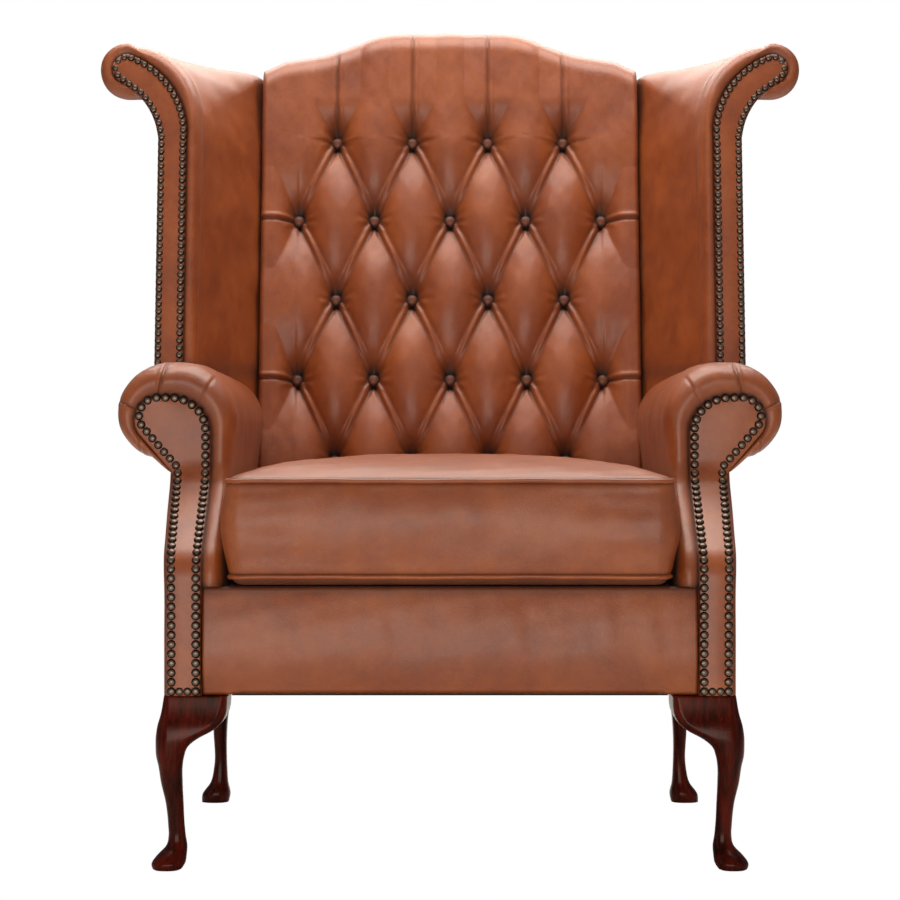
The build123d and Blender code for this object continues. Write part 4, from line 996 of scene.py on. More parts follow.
bothSides("arm_roll", armPad(), "stuffed_leather", "arm_pad", ("zip", "plane"))
bothSides("arm_scroll", armScroll(), "tan_leather", "arm_facing")
bothSides("arm_panel", outsideArm(), "tan_leather", "outside_arm")
bothSides("wing_roll", wingPad(), "stuffed_leather", "wing_pad")
bothSides("wing_scroll", wingScroll(), "tan_leather", "wing_facing")
bothSides("wing_panel", outsideWing(), "tan_leather", "outside_wing")
bothRows("arm_studs", armNails(), "arm_nails")
bothRows("wing_studs", wingNails(), "wing_nails")
print("stage: arms and wings made")


# The back: deep-buttoned, in diamonds between pleats, with a camel crest that rolls over to the rear.
crest = {
    "top": 1055, "step": 33, "stepFrom": 70, "stepOver": 125, "slope": 0.165, "slopeFrom": 183,
    "corner": 8, "cornerFrom": 222, "cornerOver": 36, "front": 74, "raise": 5,
}
back = {
    "pitch": 103.6, "row": 112, "topRow": 894, "rows": 5, "floor": 60, "depth": 32, "half": 258, "foot": 334,
    "footFront": 40.0, "rearGap": 4, "edge": 7, "perRow": 54, "perPitch": 26, "middle": 250,
    "rollHigh": 40, "rollDeep": 57, "rollFront": 92, "rollSteps": 18,
    "waves": ((0.6, 31, 80), (0.15, 32, 24)), "gather": 0.9, "gathers": 9, "sink": 6.5,
    # painted shade in the diamonds' hollows, the pleats' grooves, the pockets above the buttons and at the
    # sides
    "lowDark": 0.6, "foldDark": 0.55, "pocketDark": 0.8, "sideDark": 0.4,
}
pleat = {
    "wide": 93.7,  # across a diamond, from pleat to pleat
    "groove": 2.6, "grooveAt": 2.6, "grooveWide": 2.1, "lip": 3.4, "lipAt": 2.4, "lipWide": 2.5,
    "toe": 0.6, "toeAt": 8.0, "toeWide": 2.6,
    # straight pleats up from the top buttons and out from the side ones, as depth, place and width
    "upRidge": (1.3, 5.2, 2.6), "upGroove": (2.6, 0, 2.0),
    "outRidge": (2.2, -3.2, 2.8), "outGroove": (3.2, 1.6, 2.4),
}


def camel(x):
    # the top edge: flat in the middle, a smooth step down, an even slope, and a smooth drop at the corner
    away = np.abs(x)
    slope = crest["slope"] * np.maximum(away - crest["slopeFrom"], 0)
    step = crest["step"] * smoothStep((away - crest["stepFrom"]) / crest["stepOver"])
    corner = crest["corner"] * smoothStep((away - crest["cornerFrom"]) / crest["cornerOver"])
    return crest["top"] - step - slope - corner


def crestRise(x):
    # distance up the raked plane to the top edge, which lies in front of that plane
    return (camel(x) - body["foot"] - crest["front"] * math.sin(rake)) / math.cos(rake)


def ridgeOf(gap, shape):
    # depth times a bell round a place
    depth, place, width = shape
    return depth * bell(gap - place, width)


def wrapped(value):
    # the value's distance past the last even number, less one
    return value % 2 - 1


def diamondPleats(a, b):
    # a and b count the pleats of the two slants; a diamond swells by a blend of the larger sine and the
    # root of both sines' product, and each pleat has a groove on one side and a lip with a toe on the other
    s, t = np.abs(np.sin(np.pi * a)), np.abs(np.sin(np.pi * b))
    swell = ((0.56 * np.maximum(s, t)) ** 5 + np.sqrt(s * t) ** 5) ** 0.2
    fa, fb = a - np.floor(a), b - np.floor(b)
    fold = 0
    for gap, weight in ((fa, fb), (1 - fb, 1 - fa)):
        groove = pleat["groove"] * bell(gap * pleat["wide"] - pleat["grooveAt"], pleat["grooveWide"])
        fold = fold - groove * weight**0.8 * smoothStep(weight * 14)
    for gap, weight in ((1 - fa, fb), (fb, 1 - fa)):
        lip = pleat["lip"] * bell(gap * pleat["wide"] - pleat["lipAt"], pleat["lipWide"])
        toe = pleat["toe"] * pleat["groove"] * bell(gap * pleat["wide"] - pleat["toeAt"], pleat["toeWide"])
        fold = fold + (lip - toe) * weight**0.6 * smoothStep(weight * 9)
    return swell, fold


def tufts(x, below):
    # swell from 0 at a button to 1 in a diamond's middle, and the fold beside each pleat; above the top row
    # and beyond the side buttons the swell is a sine across the straight pleats
    side, level, last = x / (back["pitch"] / 2), below / back["row"], back["rows"] - 1
    diamonds, fold = diamondPleats((side + level + 1) / 2, (side - level + 1) / 2)
    reach = np.abs(side)
    away = np.where(reach > last - 1, np.minimum(reach - last + 1, 1), np.abs(wrapped(side)))
    rising = 0.86 * np.sin(np.pi / 2 * np.clip(-level / 0.55, 0, 1))
    channels = np.maximum(rising, np.sin(np.pi / 2 * away) ** 0.8)
    widening = 0.88 * np.sin(np.pi / 2 * np.clip((reach - last) / 0.7, 0, 1))
    edges = np.maximum(widening, np.sin(np.pi / 2 * np.abs(wrapped(level))) ** 0.8)
    under, beside = wrapped(level) * back["row"], wrapped(side) * back["pitch"] / 2
    outFold = ridgeOf(under, pleat["outRidge"]) - ridgeOf(under, pleat["outGroove"])
    upFold = (ridgeOf(beside, pleat["upRidge"]) - ridgeOf(beside, pleat["upGroove"])) * smoothStep(-level * 3)
    above = level < 0
    beyond = (reach > last) & ~above
    swell = np.where(above, channels, np.where(beyond, edges, diamonds))
    return swell, np.where(above, np.where(reach < last, upFold, 0), np.where(beyond, outFold, fold))


def buttonPlaces():
    # rows of buttons down the raked plane, one more in every second row, each row centred
    first = (back["topRow"] - body["foot"] - back["floor"] * math.sin(rake)) / math.cos(rake)
    places = []
    for row in range(back["rows"]):
        count = back["rows"] - (1 - row % 2)
        places += [((k - (count - 1) / 2) * back["pitch"], first - row * back["row"]) for k in range(count)]
    return np.array(places)


def roundedOff(x, half, edge):
    # how far a quarter round at the side edge falls back: edge less the root of edge squared less in squared
    inside = np.clip(edge - (half - np.abs(x)), 0, edge)
    return edge - np.sqrt(edge**2 - inside**2)


def pocketed(x, rise):
    # gathers are a sine round each button that fades off, a sink is a bell above it, and the pockets mark
    # painted shade above each button
    lift, pocket = 0, 0
    for placeX, placeRise in buttonPlaces():
        across, up = x - placeX, rise - placeRise
        gather = back["gather"] * np.sin(np.arctan2(up, across) * back["gathers"] + placeX)
        lift = lift + gather * bell(np.hypot(across, up) - 16, 8)
        lift = lift - back["sink"] * bell(across, 10) * bell(up - 12, 19)
        pocket = np.maximum(pocket, bell(across, 12) * bell(up - 7, 19))
    return lift, pocket


def backPad():
    # columns across the pad, each a closed loop: up the buttoned front, over the roll as a quarter ellipse,
    # back along the top and down the flat rear; the front is floor plus depth times swell plus fold
    first = buttonPlaces()[0, 1]
    step = back["pitch"] / 2 / back["perPitch"]
    reach = int(back["middle"] / step)
    middle = np.arange(-reach, reach + 1) * step
    rim = back["half"] - back["edge"] * (1 - np.cos(np.linspace(0, np.pi / 2, 9)))[::-1]
    rim = rim[rim > middle[-1] + 1]
    columns = np.concatenate([-rim[::-1], middle, rim])
    footRise = backRise(back["foot"])
    top = (crestRise(columns) + crest["raise"])[:, None]
    head = top - back["rollHigh"]
    lowest = int((first - footRise) / back["row"] * back["perRow"])
    lower = np.arange(lowest, -1, -1) * back["row"] / back["perRow"]
    upper = np.linspace(0, 1, back["perRow"])[1:]
    below = np.concatenate([np.broadcast_to(lower, (len(columns), len(lower))), -(head - first) * upper], 1)
    x, rise = columns[:, None] + 0 * below, first - below
    swell, fold = tufts(x, below)
    soft = waves(np.stack([x, rise], -1), back["waves"]) * smoothStep(swell * 1.5)
    out = back["floor"] + back["depth"] * swell + fold + soft
    lift, pocket = pocketed(x, rise)
    out = out + lift - roundedOff(x, back["half"], back["edge"])
    over, gap, column = out[:, -1:], back["rearGap"], np.ones((len(columns), 1))
    turn = np.linspace(0, np.pi / 2, back["rollSteps"] + 1)[1:]
    rollOut = over - back["rollDeep"] * (1 - np.cos(turn)) * (over / back["rollFront"])
    flatOut = np.linspace(1, 0, 9)[1:] * (rollOut[:, -1:] - gap) + gap
    rearRise = between(footRise, top, np.linspace(1, 0, 12)[1:-1])
    rollRise = head + back["rollHigh"] * np.sin(turn)
    foot, footOut = column * footRise, column * back["footFront"]
    rise = np.concatenate([foot, rise, rollRise, top + 0 * flatOut, rearRise, foot], 1)
    out = np.concatenate([footOut, out, rollOut, flatOut, gap + 0 * rearRise, column * gap], 1)
    # painted shade: low in the diamonds, in the pleats' grooves, in the pockets above the buttons, over the
    # roll and at the sides
    shade, count = np.zeros_like(out), swell.shape[1]
    seam = back["lowDark"] * smoothStep((0.3 - swell) / 0.3) + back["foldDark"] * smoothStep(-fold / 2.6)
    shade[:, 1:count + 1] = seam + back["pocketDark"] * pocket
    shade[:, count + 1:count + 1 + back["rollSteps"]] = shade[:, count:count + 1]
    shade = shade + back["sideDark"] * bell(back["half"] - np.abs(columns), 3)[:, None]
    return toRow(*onBack(columns[:, None] + 0 * rise, rise, out)), np.clip(shade, 0, 1)


button = {
    "radius": 8.2, "sides": 24,
    # share of the radius, height over the pocket's floor, painted shade
    "profile": [
        (0.5, -2.0, 1), (0.95, 0.0, 1), (1.0, 3.0, 1), (0.97, 4.8, 0.95),
        (0.86, 6.3, 0.85), (0.62, 7.6, 0.66), (0.3, 8.4, 0.5),
    ],
    # the poles' painted shade: dark under the drum, lighter on the crown
    "poles": [(-2.0, 1.0), (8.6, 0.45)],  # height, shade
}


def backButtons():
    # low leather domes, each on a short drum down in its pocket: the profile turned round the button's place,
    # with painted shade darkest on the drum and least on the crown
    wide, high, dark = np.array(button["profile"]).T[..., None]
    sides, rows = button["sides"], len(wide)
    k, last = np.arange(sides), rows * sides
    turn = k * 2 * np.pi / sides
    poleOut = back["floor"] + np.array([height for height, _ in button["poles"]])
    points, faces = [], []
    for number, (x, rise) in enumerate(buttonPlaces()):
        radius, start = button["radius"] * wide, number * (last + 2)
        out = back["floor"] + high + 0 * turn
        ring = toRow(*onBack(x + radius * np.cos(turn), rise + radius * np.sin(turn), out))
        points += [ring.reshape(-1, 3), toRow(*onBack(x + 0 * poleOut, rise + 0 * poleOut, poleOut))]
        faces += ringsToFaces(rows, sides, start).tolist()
        faces += poleFaces(k[::-1] + start, start + last)
        faces += poleFaces(k + start + last - sides, start + last + 1)
    shade = np.concatenate([np.repeat(dark, sides), [shade for _, shade in button["poles"]]])
    return np.concatenate(points), faces, np.tile(shade, len(buttonPlaces()))


rearPanel = {
    "shoulder": 989, "across": 121, "up": 61, "inner": 3.8, "puff": 1.5, "puffOver": 30,
    "wave": (0.5, 41, 160), "waveOver": 60, "rimAcross": 300, "rimUp": 800,
}


def outsideBack():
    # a thin panel as wide as the body, puffed to the rear, with the camel top and straight shoulders
    share = np.linspace(-1, 1, rearPanel["across"])
    half, away = back["half"], np.abs(share * body["headHalf"])
    shoulder, side = backRise(rearPanel["shoulder"]), crestRise(np.array([float(half)]))[0]
    slope = between(side, shoulder, (away - half) / (body["headHalf"] - half))
    top = np.where(away <= half, crestRise(np.minimum(away, half)), slope)
    up = np.linspace(0, 1, rearPanel["up"])
    rise = top[:, None] * up
    wide = backHalf(body["foot"] + np.minimum(rise, backRise(body["neck"])) * math.cos(rake))
    x = share[:, None] * wide
    rimX = (1 - np.abs(share))[:, None] * rearPanel["rimAcross"]
    rim = np.minimum(rimX, np.minimum(1 - up, up) * rearPanel["rimUp"])
    wave = waves(np.stack([x, rise], -1), [rearPanel["wave"]]) * smoothStep(rim / rearPanel["waveOver"])
    puff = rearPanel["puff"] * smoothStep(rim / rearPanel["puffOver"]) + wave
    outer, fewX, fewRise = np.stack(onBack(x, rise, -puff), -1), x[:, ::-15], rise[:, ::-15]
    inner = np.stack(onBack(fewX, fewRise, rearPanel["inner"] + 0 * fewX), -1)
    rings = np.concatenate([outer, inner], 1)
    return toRow(rings[..., 0], rings[..., 1], rings[..., 2])


rings, shade = backPad()
dress(ringPiece("buttoned_back", rings, shade=shade), "stuffed_leather", ["back_pad"])
dress(meshObject("leather_buttons", *backButtons()), "tan_leather", ["back_buttons"])
dress(ringPiece("rear_panel", outsideBack()), "tan_leather", ["outside_back"])
print("stage: back made")


# The front border: one padded board of leather between the arms, under the cushion.
border = {
    "half": 278.7, "top": 318, "foot": 199, "belly": 245, "edge": 3.5, "round": 5, "middle": 264,
    "front": -3, "fall": 9, "fallUnder": 49, "fallOver": 73, "dip": 2.8, "dipFrom": 236, "dipOver": 14,
    # painted shade: a shadow along the top under the cushion, and darker at the ends beside the arms
    "waves": ((0.54, 51, 120), (0.3, 52, 40)), "topDark": 0.6, "sideDark": 0.2,
    # the rear of its section, as depth and height
    "rear": [(22, 318), (34, 317.6), (34, 300.4), (21.7, 300.3), (21.7, 196.2)],
    "rearFoot": 12, "rearFootShare": 0.4,
}


def frontBorder():
    # columns across its width, each a closed loop: rounded foot, a belly that falls off with the square of
    # the height from it, rounded top and the rear; the ends are quarter rounds and the foot dips to the legs
    half, edge, radius, top = border["half"], border["edge"], border["round"], border["top"]
    rim = half - edge * (1 - np.cos(np.linspace(0, np.pi / 2, 8)))
    x = np.concatenate([-rim, np.linspace(-border["middle"], border["middle"], 150), rim[::-1]])
    foot = border["foot"] - border["dip"] * smoothStep((np.abs(x) - border["dipFrom"]) / border["dipOver"])
    foot, column = foot[:, None], np.ones((len(x), 1))
    z = between(foot + radius, top - radius, np.linspace(0, 1, 40))
    high = z - border["belly"]
    fall = np.where(high < 0, (high / border["fallUnder"]) ** 2, (high / border["fallOver"]) ** 2)
    depth = border["front"] + border["fall"] * fall
    depth = depth + waves(np.stack([x[:, None] + 0 * z, depth, z], -1), border["waves"])
    turn = np.linspace(0, np.pi / 2, 7)
    footTurn, topTurn = turn[:0:-1], turn[1:]
    depth = np.concatenate([
        depth[:, :1] + radius * (1 - np.cos(footTurn)), depth, depth[:, -1:] + radius * (1 - np.cos(topTurn)),
    ], 1) + roundedOff(x, half, edge)[:, None]
    lowest = between(body["foot"], foot, border["rearFootShare"])
    z = np.concatenate([
        foot + radius - radius * np.sin(footTurn), z, top - radius + radius * np.sin(topTurn) + 0 * foot,
        *(column * height for _, height in border["rear"]), lowest,
    ], 1)
    rear = [column * place for place, _ in border["rear"]] + [column * border["rearFoot"]]
    # painted shade: a shadow along the top under the cushion, and darker at the ends beside the arms
    shade = border["topDark"] * bell(z - top, 9) + border["sideDark"] * bell(half - np.abs(x), 3)[:, None]
    return toRow(x[:, None] + 0 * z, np.concatenate([depth] + rear, 1), z), np.clip(shade, 0, 1)


rings, shade = frontBorder()
dress(ringPiece("border_leather", rings, shade=shade), "stuffed_leather", ["front_border"])


# The loose cushion: a boxed cover with a crown, a bellied boxing and a welt at both seams.
cushion = {
    "half": 255.5, "front": -12, "rear": 540, "corner": 26, "pull": 4, "perSide": 60, "perCorner": 16,
    "floor": 319.8, "low": 329.8, "top": 436.8, "crown": 30, "belly": 9.4, "inset": 8.6, "footInset": 25,
    "flare": 0.018, "flareFrom": 50, "flareOver": 60, "drawIn": 0.014, "drawSpread": 30,
    # painted shade along the seams and on the underside
    "seamDark": 0.8, "underDark": 0.3,
    "boxing": (334, 433), "boxingWaves": ((0.8, 61, 70), (0.3, 62, 34)), "boxingSink": 0.7,
    "longways": (0.45, 0.45, 1.4),  # the first wave's stretch along the boxing
    "creases": [(356, 0.6), (380, 0.4), (407, 0.5)],  # height and depth
    "creaseAt": 205, "creaseSpread": 48, "creaseBend": 4, "creaseWide": 8,
    "topWaves": ((1.1, 63, 110), (0.35, 64, 36)), "topSink": 0.6, "topFrom": 440,
}


def cushionLine():
    # the outline: four sides drawn in by a parabola, with round corners between; and its outward direction
    half, corner, front, rear = (cushion[key] for key in ("half", "corner", "front", "rear"))
    centre = (front + rear) / 2
    right, deep = half - corner, (rear - front) / 2 - corner
    way = -1 + 2 * np.arange(cushion["perSide"]) / cushion["perSide"]
    points = []
    for turn in range(4):
        long, short = (deep, right) if turn % 2 else (right, deep)
        side = np.stack([way * long, -(short + corner) + cushion["pull"] * (1 - way**2)], 1)
        bend = arcRun((long, -short), corner, -90, 90, cushion["perCorner"])
        angle = math.radians(90 * turn)
        spin = np.array([[math.cos(angle), -math.sin(angle)], [math.sin(angle), math.cos(angle)]])
        points.append(np.concatenate([side, bend]) @ spin.T)
    points = np.concatenate(points)
    ahead = smoothStep((cushion["flareFrom"] - points[:, 1] - centre) / cushion["flareOver"])
    points[:, 0] *= 1 + cushion["flare"] * ahead
    along = np.roll(points, -1, 0) - np.roll(points, 1, 0)
    normal = np.stack([along[:, 1], -along[:, 0]], 1) / np.linalg.norm(along, axis=1)[:, None]
    return points, normal, centre


def drawnIn(x, z):
    # the cushion is narrower at its lower seam: x less a share that falls away as a bell above it
    return x * (1 - cushion["drawIn"] * bell(z - cushion["low"], cushion["drawSpread"]))


def cushionRows():
    # the outline's rows, as the share of it, its inset, its height and its painted shade (darker underneath
    # and at the seams): the flat underside, a quarter round, the boxing swelled by a sine, and the crown,
    # which rises with 1 less a power of the share
    floor, low, top, inset, foot = (cushion[key] for key in ("floor", "low", "top", "inset", "footInset"))
    high, seam, under = top - low, cushion["seamDark"], cushion["underDark"]
    rows = [(share, foot, floor, under) for share in np.linspace(0.12, 1, 9)]
    for q in np.linspace(0, 1, 8)[1:]:
        across, up = math.sin(np.pi / 2 * q), 1 - math.cos(np.pi / 2 * q)
        rows.append((1, between(foot, inset, across), between(floor, low, up), under + 0.5 * q))
    for q in np.linspace(0, 1, 40)[1:]:
        swell = cushion["belly"] * np.sin(np.pi * q) ** 0.6
        dark = seam * (bell(q * high, 3.5) + bell((1 - q) * high, 3.5))
        rows.append((1, inset - swell, low + high * q, dark))
    for share in np.cos(np.linspace(0, np.pi / 2, 60))[1:-1]:
        crown = cushion["crown"] * (1 - share**2.5) ** 0.55
        rows.append((share, inset, top + crown, seam * bell((1 - share) * 250, 2.5)))
    return np.array(rows).T[..., None]


def seatCushion():
    # the rows laid round the centre, then moved along the normal by soft waves and a few creases
    line, normal, centre = cushionLine()
    share, inset, height, shade = cushionRows()
    flat = (line - normal * inset[..., None]) * share[..., None]
    rings = np.stack([flat[..., 0], flat[..., 1] + centre, height + 0 * flat[..., 0]], -1)
    x, depth, z = rings[..., 0], rings[..., 1], rings[..., 2]
    low, high = cushion["boxing"]
    away = np.abs(x) + np.abs(depth - centre)
    boxing = smoothStep((z - low) / 12) * smoothStep((high - z) / 10) * (away > 180)
    soft = boxing * (waves(rings * cushion["longways"], cushion["boxingWaves"][:1])
                     + waves(rings, cushion["boxingWaves"][1:]) - cushion["boxingSink"])
    ends = bell(np.abs(x) - cushion["creaseAt"], cushion["creaseSpread"])
    for at, deep in cushion["creases"]:
        bent = z - at - cushion["creaseBend"] * np.sin(x / 40 + at)
        soft = soft - boxing * deep * ends * bell(bent, cushion["creaseWide"])
    crown = smoothStep((z - cushion["topFrom"]) / 8)
    soft = soft + crown * (waves(rings, cushion["topWaves"]) - cushion["topSink"])
    rings = rings + ringNormals(rings, rings.reshape(-1, 3).mean(0)) * soft[..., None]
    return toRow(drawnIn(rings[..., 0], rings[..., 2]), rings[..., 1], rings[..., 2]), shade


welt = {"radius": 2.7, "sides": 14, "out": 2.0, "seamGap": 0.4, "waves": ((0.35, 9), (0.2, 31))}


def weltLoop(height):
    # a circle carried along the cushion's outline, whose height waves a little
    line, normal, centre = cushionLine()
    turn = np.arange(welt["sides"]) * 2 * np.pi / welt["sides"]
    along = np.arange(len(line)) * 2 * np.pi / len(line)
    wave = sum(strength * np.sin(along * count) for strength, count in welt["waves"])
    away = welt["out"] - cushion["inset"] + welt["radius"] * np.cos(turn)
    flat = line[:, None] + normal[:, None] * away[None, :, None]
    z = height + wave[:, None] + welt["radius"] * np.sin(turn)
    return toRow(drawnIn(flat[..., 0], z), flat[..., 1] + centre, z)


rings, shade = seatCushion()
dress(ringPiece("loose_cushion", rings, ("pole", "pole"), shade), "stuffed_leather",
      ["cushion_cover", "cushion_core"], "seat_cushion")
for name, node, height in (
    ("top_welt", "top_piping", cushion["top"] + welt["seamGap"]),
    ("bottom_welt", "bottom_piping", cushion["low"] - welt["seamGap"]),
):
    dress(ringPiece(name, weltLoop(height), closedRows=True), "tan_leather", [node], "seat_cushion")


deck = {"fall": 5, "fallWide": 4.5, "set": 0.6, "wave": (0.4, 71, 120), "lift": 0.1}


def nodeBox(name):
    # half the width, front, rear, bottom and top of a CAD node, in the script's millimetres
    low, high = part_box(name)
    return high.x / mm, (low.y - facePlaneY) / mm, (high.y - facePlaneY) / mm, low.z / mm, high.z / mm


def seatDeck():
    # the platform under the cushion: a slab whose top falls off as a bell from each edge, with soft waves
    half, front, rear, bottom, top = nodeBox("seat_deck")
    way = np.linspace(-1, 1, 61)
    x = (np.sign(way) * (1 - (1 - np.abs(way)) ** 1.3) * half)[:, None]
    depth = between(front, rear, (1 - np.cos(np.pi * np.linspace(0, 1, 50))) / 2)
    fallX = deck["fall"] * bell(half - np.abs(x), deck["fallWide"])
    fallDepth = deck["fall"] * (bell(depth - front, deck["fallWide"]) + bell(rear - depth, deck["fallWide"]))
    wave = waves(np.stack(np.broadcast_arrays(x, depth), -1), [deck["wave"]])
    z = top - np.maximum(fallDepth, fallX) - deck["set"] - wave
    under = depth[::-7]
    z = np.concatenate([z, bottom + deck["lift"] + 0 * (x + under)], 1)
    return toRow(x + 0 * z, np.concatenate([depth, under]) + 0 * z, z)


dress(ringPiece("platform", seatDeck()), "black_cloth", ["seat_deck"])


strap = {
    "wide": 49.4, "thick": 1.3, "sag": 2, "steps": 80, "backSteps": 60,
    # the band's own section, as shares of half its width and of its thickness
    "across": [-1, -0.96, -0.4, 0.4, 0.96, 1, 1, 0.96, 0.4, -0.4, -0.96, -1],
    "up": [0.2, 0.5, 0.5, 0.5, 0.5, 0.2, -0.2, -0.5, -0.5, -0.5, -0.5, -0.2],
}


def nodePoints(name):
    # a CAD node's vertices in the script's millimetres
    mesh = nodes[name].data
    flat = np.empty(len(mesh.vertices) * 3, np.float32)
    mesh.vertices.foreach_get("co", flat)
    return (flat.reshape(-1, 3).astype(float) - np.array([0, facePlaneY, 0])) / mm


def pairs(values):
    # neighbouring distinct values, two by two
    return np.unique(np.round(values, 1)).reshape(-1, 2)


def ribbons(name, lines, ways):
    # closed bands: the section laid along each centre line, across its way and its normal
    u, v = np.array(strap["across"]) * strap["wide"] / 2, np.array(strap["up"]) * strap["thick"]
    points, faces, start = [], [], 0
    for line, way in zip(lines, ways):
        normal = np.cross(way, np.gradient(line, axis=0))
        normal /= np.linalg.norm(normal, axis=1, keepdims=True)
        rings = line[:, None] + u[:, None] * np.array(way) + v[:, None] * normal[:, None]
        points.append(rings.reshape(-1, 3))
        faces += ringsToFaces(len(line), len(u), start).tolist()
        ring = np.arange(len(u)) + start
        faces += [ring[::-1].tolist(), (ring + (len(line) - 1) * len(u)).tolist()]
        start += len(line) * len(u)
    points = np.concatenate(points)
    return meshObject(name, toRow(points[:, 0], points[:, 1], points[:, 2]), faces, np.zeros(len(points)))


def seatStraps():
    # two sets woven over and under: the height is a cosine of the place over the other set's pitch
    points = nodePoints("seat_webbing")
    high, low = points[:, 2].max(), points[:, 2].min()
    middle, lift = (high + low) / 2, (high - low) / 4
    lower, upper = points[points[:, 2] < middle - 0.3], points[points[:, 2] > middle + 0.3]
    longX, crossDepth = pairs(lower[:, 0]).mean(1), pairs(upper[:, 1]).mean(1)
    depth = np.linspace(lower[:, 1].min(), lower[:, 1].max(), strap["steps"])
    x = np.linspace(upper[:, 0].min(), upper[:, 0].max(), strap["steps"])
    lines = []
    for number, at in enumerate(longX):
        wave = np.cos(np.pi * ((depth - crossDepth[0]) / (crossDepth[1] - crossDepth[0]) + number))
        lines.append(np.stack([at + 0 * depth, depth, middle + lift * wave], 1))
    for number, at in enumerate(crossDepth):
        wave = -np.cos(np.pi * ((x - longX[0]) / (longX[1] - longX[0]) + number))
        lines.append(np.stack([x, at + 0 * x, middle + lift * wave], 1))
    return ribbons("seat_straps", lines, [(1.0, 0, 0)] * len(longX) + [(0, 1.0, 0)] * len(crossDepth))


def backStraps():
    # level bands on the raked plane, each sagging back by the sag times (1 minus the share across squared)
    points = nodePoints("back_webbing")
    behind, up = points[:, 1] - body["rear"], points[:, 2] - body["foot"]
    rise = behind * math.sin(rake) + up * math.cos(rake)
    out = up * math.sin(rake) - behind * math.cos(rake)
    share = np.linspace(-1, 1, strap["backSteps"])
    lines = []
    for low, high in pairs(rise):
        reach = points[np.abs(rise - low) < 0.2][:, 0].max()
        sagging = out.mean() - strap["sag"] * (1 - share**2)
        lines.append(np.stack(onBack(share * reach, (low + high) / 2 + 0 * share, sagging), 1))
    return ribbons("back_straps", lines, [(0, math.sin(rake), math.cos(rake))] * len(lines))


dress(seatStraps(), "webbing", ["seat_webbing"])
dress(backStraps(), "webbing", ["back_webbing"])
print("stage: seat made")


# The legs: rows of height, inner edge, outer edge and corner rounding, as shares of the height and the top.
frontLeg = {
    "top": 73, "steps": 90, "sole": 1.5, "soleHigh": 0.03, "soleEdge": 1.2,
    "rows": [
        (0.0, 0.73, 1.17, 0.44), (0.04, 0.67, 1.185, 0.44), (0.08, 0.655, 1.11, 0.47),
        (0.13, 0.65, 0.98, 0.49), (0.19, 0.675, 0.94, 0.49), (0.25, 0.69, 0.945, 0.49),
        (0.38, 0.705, 0.98, 0.49), (0.5, 0.715, 1.05, 0.49), (0.6, 0.712, 1.09, 0.48),
        (0.65, 0.69, 1.12, 0.46), (0.71, 0.62, 1.13, 0.42), (0.755, 0.46, 1.13, 0.34),
        (0.79, 0.28, 1.12, 0.26), (0.83, 0.14, 1.1, 0.2), (0.88, 0.06, 1.06, 0.16), (1.0, 0.02, 1.0, 0.1),
    ],
}
# The back leg's rows have its front and rear edges after the side ones.
backLeg = {
    "wide": 30, "deep": 42, "steps": 70,
    "rows": [
        (0.0, 0.32, 1.5, 0.16, 1.2, 0.44), (0.05, 0.25, 1.48, 0.12, 1.2, 0.46),
        (0.13, 0.33, 1.12, 0.22, 0.92, 0.48), (0.24, 0.37, 0.95, 0.28, 0.78, 0.47),
        (0.5, 0.37, 0.97, 0.22, 0.78, 0.42), (0.78, 0.18, 0.95, 0.1, 0.9, 0.25),
        (1.0, 0.0, 1.0, 0.0, 1.0, 0.15),
    ],
}
legShares = {"first": [0, 0.006], "from": 0.015, "gap": 0.2, "perCorner": 13}


def legRings(share, lowX, highX, lowY, highY, rounding):
    # at every height a rectangle whose corners are quarter circles, a share of its smaller side
    radius = np.minimum(highX - lowX, highY - lowY) * rounding
    z = share * (body["foot"] - legShares["gap"])
    turns = np.radians(np.linspace(0, 90, legShares["perCorner"]))
    parts = []
    for x, y, start in (
        (highX - radius, lowY + radius, -90), (highX - radius, highY - radius, 0),
        (lowX + radius, highY - radius, 90), (lowX + radius, lowY + radius, 180),
    ):
        angle, wide = turns + math.radians(start), radius[:, None]
        parts.append(toRow(x[:, None] + wide * np.cos(angle), y[:, None] + wide * np.sin(angle), z[:, None]))
    return np.concatenate(parts, 1)


def legTable(leg):
    # the shares of the height, closer at the sole, and the table's curves at them
    share = np.concatenate([legShares["first"], np.linspace(legShares["from"], 1, leg["steps"])])
    return share, smoothTable(share, leg["rows"]).T


def frontLegRings():
    # the cabriole's edges from the table, alike to the side and to the front, drawn in round the sole
    share, (low, high, rounding) = legTable(frontLeg)
    top, inner = frontLeg["top"], body["half"] - frontLeg["top"]
    under = np.clip(1 - share / frontLeg["soleHigh"], 0, 1)
    tuck = frontLeg["sole"] * (1 - np.sqrt(1 - under**2))
    tuck[0] += frontLeg["soleEdge"]
    return legRings(share, inner + top * low + tuck, inner + top * high - tuck,
                    top * (1 - high) + tuck, top * (1 - low) - tuck, rounding)


def backLegRings():
    # the rear leg's edges from the table, as shares of its width and depth
    share, (lowX, highX, lowY, highY, rounding) = legTable(backLeg)
    wide, deep = backLeg["wide"], backLeg["deep"]
    inner, front = body["rearHalf"] - wide, body["rear"] - deep
    return legRings(share, inner + wide * lowX, inner + wide * highX,
                    front + deep * lowY, front + deep * highY, rounding)


bothSides("cabriole", (frontLegRings(), 0), "mahogany", "front_leg")
bothSides("rear_cabriole", (backLegRings(), 0), "mahogany", "back_leg")


lining = {
    "frontCut": 76, "frontGap": 0.5, "rearCut": 34, "rearGap": 0.5, "rearInset": 33,
    "sag": 3, "thick": 0.6, "set": 0.1,
}


